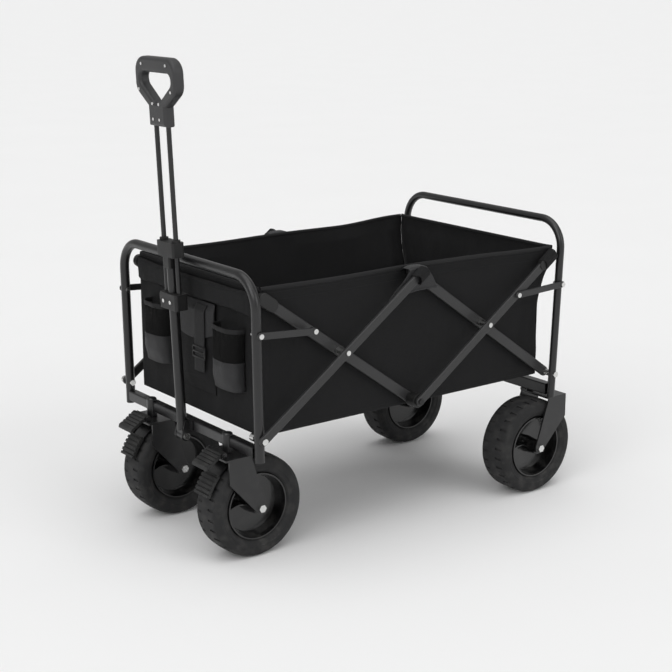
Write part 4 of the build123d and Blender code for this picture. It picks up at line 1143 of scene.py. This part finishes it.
@dataclass
class CentrePocket:
    """Flat pocket with a flap, a strap and a buckle."""

    paints: Paints
    sewing: Sewing
    half_y: float = 0.072
    low_z: float = 0.320
    high_z: float = 0.496
    back_x: float = 0.3762

    def bulge(self, u: float, v: float) -> float:
        """How far the pocket stands off the panel."""
        return 0.0125 * (math.sin(math.pi * u) ** 0.5) * ease(v / 0.2) * between(1.0, 0.8, v)

    def body_point(self, u: float, v: float) -> Vector:
        """Point of the pocket's front."""
        y = between(self.half_y, -self.half_y, u)
        z = between(self.low_z, self.high_z, v)
        fold = 0.0016 * ripple(Vector((0, y, z)), (1, 0.03, 0.07), 5.5) * math.sin(math.pi * u)
        return Vector((self.back_x + self.bulge(u, v) + fold, y, z))

    def flap_point(self, u: float, v: float) -> Vector:
        """Point of the flap, which comes off the panel over the pocket's mouth."""
        y = between(self.half_y + 0.002, -self.half_y - 0.002, u)
        drop = 0.078 * v * (1 - 0.18 * (2 * u - 1) ** 2 * ease(v))
        over = self.bulge(u, 0.8) + 0.0024
        x = self.back_x + 0.0006 + over * ease(v / 0.25)
        return Vector((x + 0.0012 * ripple(Vector((0, y, drop)), (1, 0.03, 0.03), 8.0), y, 0.511 - drop))

    def strap_line(self, y: float, low: float, lift: float) -> list[Vector]:
        """Line down the front of the pocket."""
        u = (self.half_y - y) / (2 * self.half_y)
        line = []
        for k in range(25):
            z = between(0.506, low, k / 24)
            v = (z - self.low_z) / (self.high_z - self.low_z)
            out = self.bulge(u, min(v, 0.8)) * ease((0.511 - z) / 0.02)
            line.append(Vector((self.back_x + out + lift, y, z)))
        return line

    def make(self) -> None:
        """Make the pocket, flap, strap, buckle and stitches."""
        body = Cloth(
            "document_pocket", self.body_point, (0.15, 0.178), (60, 60), self.paints.cloth, thick=0.0014
        ).make()
        flap = Cloth(
            "pocket_flap",
            self.flap_point,
            (0.15, 0.08),
            (60, 30),
            self.paints.lining_and_lit_cloth,
            thick=0.0014,
            turned=True,
        ).make()
        strap = self.strap("flap_strap", 0.034, 0.366, 0.019)
        lift = (0.0004, 0, 0)
        rows = [traced(lambda v, u=u: self.body_point(u, v), 60, lift) for u in (0.03, 0.97)]
        rows += [traced(lambda u, v=v: self.flap_point(u, v), 50, lift) for v in (0.07, 0.93)]
        thread = self.sewing.stitches("pocket_stitching", rows)
        edge = traced(lambda u: self.body_point(u, 1.0), 40, (0, 0, 0))
        mouth = self.sewing.tape("pocket_mouth_tape", [edge], width=0.008, thick=0.003)
        buckle = self.buckle()
        for piece in (body, flap, strap, thread, mouth, buckle):
            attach(piece, "bag")
            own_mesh(piece)
            LOG.info("made %s", piece.name)
        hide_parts("centre_pocket")

    def strap(self, name: str, y: float, low: float, half_w: float) -> bpy.types.Object:
        """Flat woven strap down the front of the pocket."""
        line = self.strap_line(y, low, 0.0045)

        def point(u: float, v: float) -> Vector:
            """Point of the strap's face."""
            k = min(int(v * 24), 23)
            along = line[k].lerp(line[k + 1], v * 24 - k)
            bow = 0.0008 * math.sin(math.pi * u)
            return along + Vector((bow, between(half_w, -half_w, u), 0))

        size = (2 * half_w, 0.145)
        return Cloth(name, point, size, (8, 70), self.paints.trim, thick=0.0014, turned=True).make()

    def buckle(self) -> bpy.types.Object:
        """Moulded ladder buckle on the strap."""
        shape = bmesh.new()
        centre = self.strap_line(0.034, 0.366, 0.0068)[17]
        for dy, dz, wide, tall in BUCKLE_BARS:
            box = bmesh.ops.create_cube(shape, size=1.0)
            for corner in box["verts"]:
                x, y, z = corner.co
                corner.co = centre + Vector((x * 0.0035, dy + y * wide, dz + z * tall))
        mesh = bpy.data.meshes.new("strap_buckle")
        shape.to_mesh(mesh)
        shape.free()
        mesh.materials.append(self.paints.by_slot[Slot.MOULDED])
        piece = bpy.data.objects.new("strap_buckle", mesh)
        bpy.context.scene.collection.objects.link(piece)
        soft = piece.modifiers.new("edges", "BEVEL")
        soft.width, soft.segments = 0.0008, 2
        return settle(piece)


# ---------------------------------------------------------------- bar sleeves
@dataclass
class BarSleeve:
    """Cloth sleeve sewn round the upper end of a bar, which turns with the bar."""

    paints: Paints
    name: str
    body: str
    rests_on: str
    end: tuple[float, float]
    lead: int
    half_w: float
    low_y: float
    high_y: float
    back: float
    ahead: float
    slope: float = math.radians(35.5)

    def make(self, word: str, side: int) -> None:
        """Make the sleeve on one side of the wagon."""
        along = Vector((self.lead * math.cos(self.slope), 0, math.sin(self.slope)))
        up = Vector((-self.lead * math.sin(self.slope), 0, math.cos(self.slope)))
        tip = Vector((self.end[0], side * (self.low_y + self.high_y) / 2, self.end[1]))

        def point(u: float, v: float) -> Vector:
            """Point of the sleeve: u goes round it and v towards the closed end."""
            turn = 2 * math.pi * u
            close = 1 - ease((v - 0.72) / 0.28) ** 2 * 0.96
            wide = self.half_w * close * (1 + 0.06 * math.sin(turn * 3) * (1 - v))
            thick = (self.high_y - self.low_y) / 2 * between(close, 1, 0.35)
            reach = between(-self.back, self.ahead, math.sin(v * math.pi / 2))
            wave = 0.003 * math.sin(turn * 2 + 1) * (1 - v)
            boxed = math.copysign(abs(math.cos(turn)) ** 0.5, math.cos(turn))
            return tip + along * (reach + wave) + up * wide * math.sin(turn) + Vector((0, thick * boxed, 0))

        size = (2 * (2 * self.half_w + self.high_y - self.low_y), self.back + self.ahead)
        name, outwards = f"{self.name}_{word}", self.lead > 0
        sleeve = Cloth(name, point, size, (40, 26), self.paints.cloth, thick=0.0009, turned=outwards).make()
        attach(sleeve, self.body)
        LOG.info("made %s", sleeve.name)


BAR_SLEEVES = (
    {
        "name": "rear_corner_sleeve",
        "body": "bars_c",
        "rests_on": "corner_caps_rear",
        "end": (-0.3712, 0.551),
        "lead": -1,
        "half_w": 0.0130,
        "low_y": 0.2602,
        "high_y": 0.2774,
        "back": 0.026,
        "ahead": 0.0135,
    },
    {
        "name": "middle_joint_sleeve",
        "body": "bars_a",
        "rests_on": "bar_a_{}",
        "end": (0.0, 0.5602),
        "lead": -1,
        "half_w": 0.0112,
        "low_y": 0.2600,
        "high_y": 0.2822,
        "back": 0.017,
        "ahead": 0.0118,
    },
)


# ---------------------------------------------------------------- studio
@dataclass
class Studio:
    """Pale floor, soft lights and the camera."""

    eye: tuple[float, float, float] = (1.8965, 2.4859, 1.1783)
    aim: tuple[float, float, float] = (0.0409, 0.0324, 0.3856)
    lens: float = 77.8
    middle: tuple[float, float, float] = (0.0, 0.0, 0.4)

    def floor(self) -> None:
        """Wide matt floor."""
        reach = 60.0
        ends = ((-reach, -reach), (reach, -reach), (reach, reach), (-reach, reach))
        corners = [Vector((x, y, 0)) for x, y in ends]
        paint = bpy.data.materials.new("studio floor")
        paint.use_nodes = True
        wire = Wiring(paint.node_tree)
        shader = paint.node_tree.nodes["Principled BSDF"]
        patch = wire.noise(wire.place("Object"), 2.0, 3.0)
        wire.feed(shader.inputs["Base Color"], wire.mix(patch, (0.86, 0.86, 0.86), (0.88, 0.88, 0.88)))
        shader.inputs["Roughness"].default_value = 0.9
        shader.inputs["Specular IOR Level"].default_value = 0.1
        new_piece("studio_floor", corners, [(0, 1, 2, 3)], paint)

    def box(self, name: str, place: Sequence[float], size: float, power: float) -> None:
        """Square soft light that points at the middle of the wagon."""
        lamp = bpy.data.lights.new(name, "AREA")
        lamp.size, lamp.energy = size, power
        self.hang(name, lamp, place)

    def sky_light(self, name: str, place: Sequence[float], spread: float, power: float) -> None:
        """Far soft light that falls evenly on the whole floor."""
        lamp = bpy.data.lights.new(name, "SUN")
        lamp.angle, lamp.energy = math.radians(spread), power
        self.hang(name, lamp, place)

    def hang(self, name: str, lamp: bpy.types.Light, place: Sequence[float]) -> None:
        """Put a light in place, aimed at the middle of the wagon."""
        holder = bpy.data.objects.new(name, lamp)
        holder.location = place
        holder.rotation_euler = (Vector(self.middle) - Vector(place)).to_track_quat("-Z", "Y").to_euler()
        bpy.context.scene.collection.objects.link(holder)

    def make(self) -> None:
        """Set the floor, lights, world and camera."""
        self.floor()
        self.sky_light("overhead_light", (0.4, 0.3, 3.4), 70, 1.25)
        self.sky_light("key_light", (3.2, 1.2, 2.6), 40, 0.75)
        self.sky_light("side_light", (-1.2, 3.6, 2.2), 40, 0.6)
        self.box("strip_light", (2.4, 2.9, 2.4), 0.5, 7)
        world = bpy.data.worlds.new("studio")
        world.use_nodes = True
        sky = world.node_tree.nodes["Background"]
        sky.inputs["Color"].default_value = (1, 1, 1, 1)
        sky.inputs["Strength"].default_value = 0.42
        bpy.context.scene.world = world
        camera = bpy.data.cameras.new("camera")
        camera.lens, camera.sensor_width = self.lens, 36.0
        camera.clip_end = 200.0
        holder = bpy.data.objects.new("camera", camera)
        holder.location = self.eye
        holder.rotation_euler = (Vector(self.aim) - Vector(self.eye)).to_track_quat("-Z", "Y").to_euler()
        bpy.context.scene.collection.objects.link(holder)
        bpy.context.scene.camera = holder
        bpy.context.scene.view_settings.view_transform = "Standard"


def main() -> None:
    """Build the studio, the finishes and the bag."""
    logging.basicConfig(level=logging.INFO, format="%(name)s: %(message)s")
    Studio().make()
    paints = Paints()
    paints.dress_steelwork()
    sewing = Sewing(paints)
    bag = Bag(paints, sewing)
    bag.sides()
    bag.gussets()
    bag.rear()
    bag.front()
    bag.mat()
    FrontBand(paints, sewing).make()
    for word, side in (("left", 1), ("right", -1)):
        CupPocket(paints, sewing, side, word).make()
        for values in BAR_SLEEVES:
            BarSleeve(paints, **values).make(word, side)
    CentrePocket(paints, sewing).make()


if __name__ == "__main__":
    main()
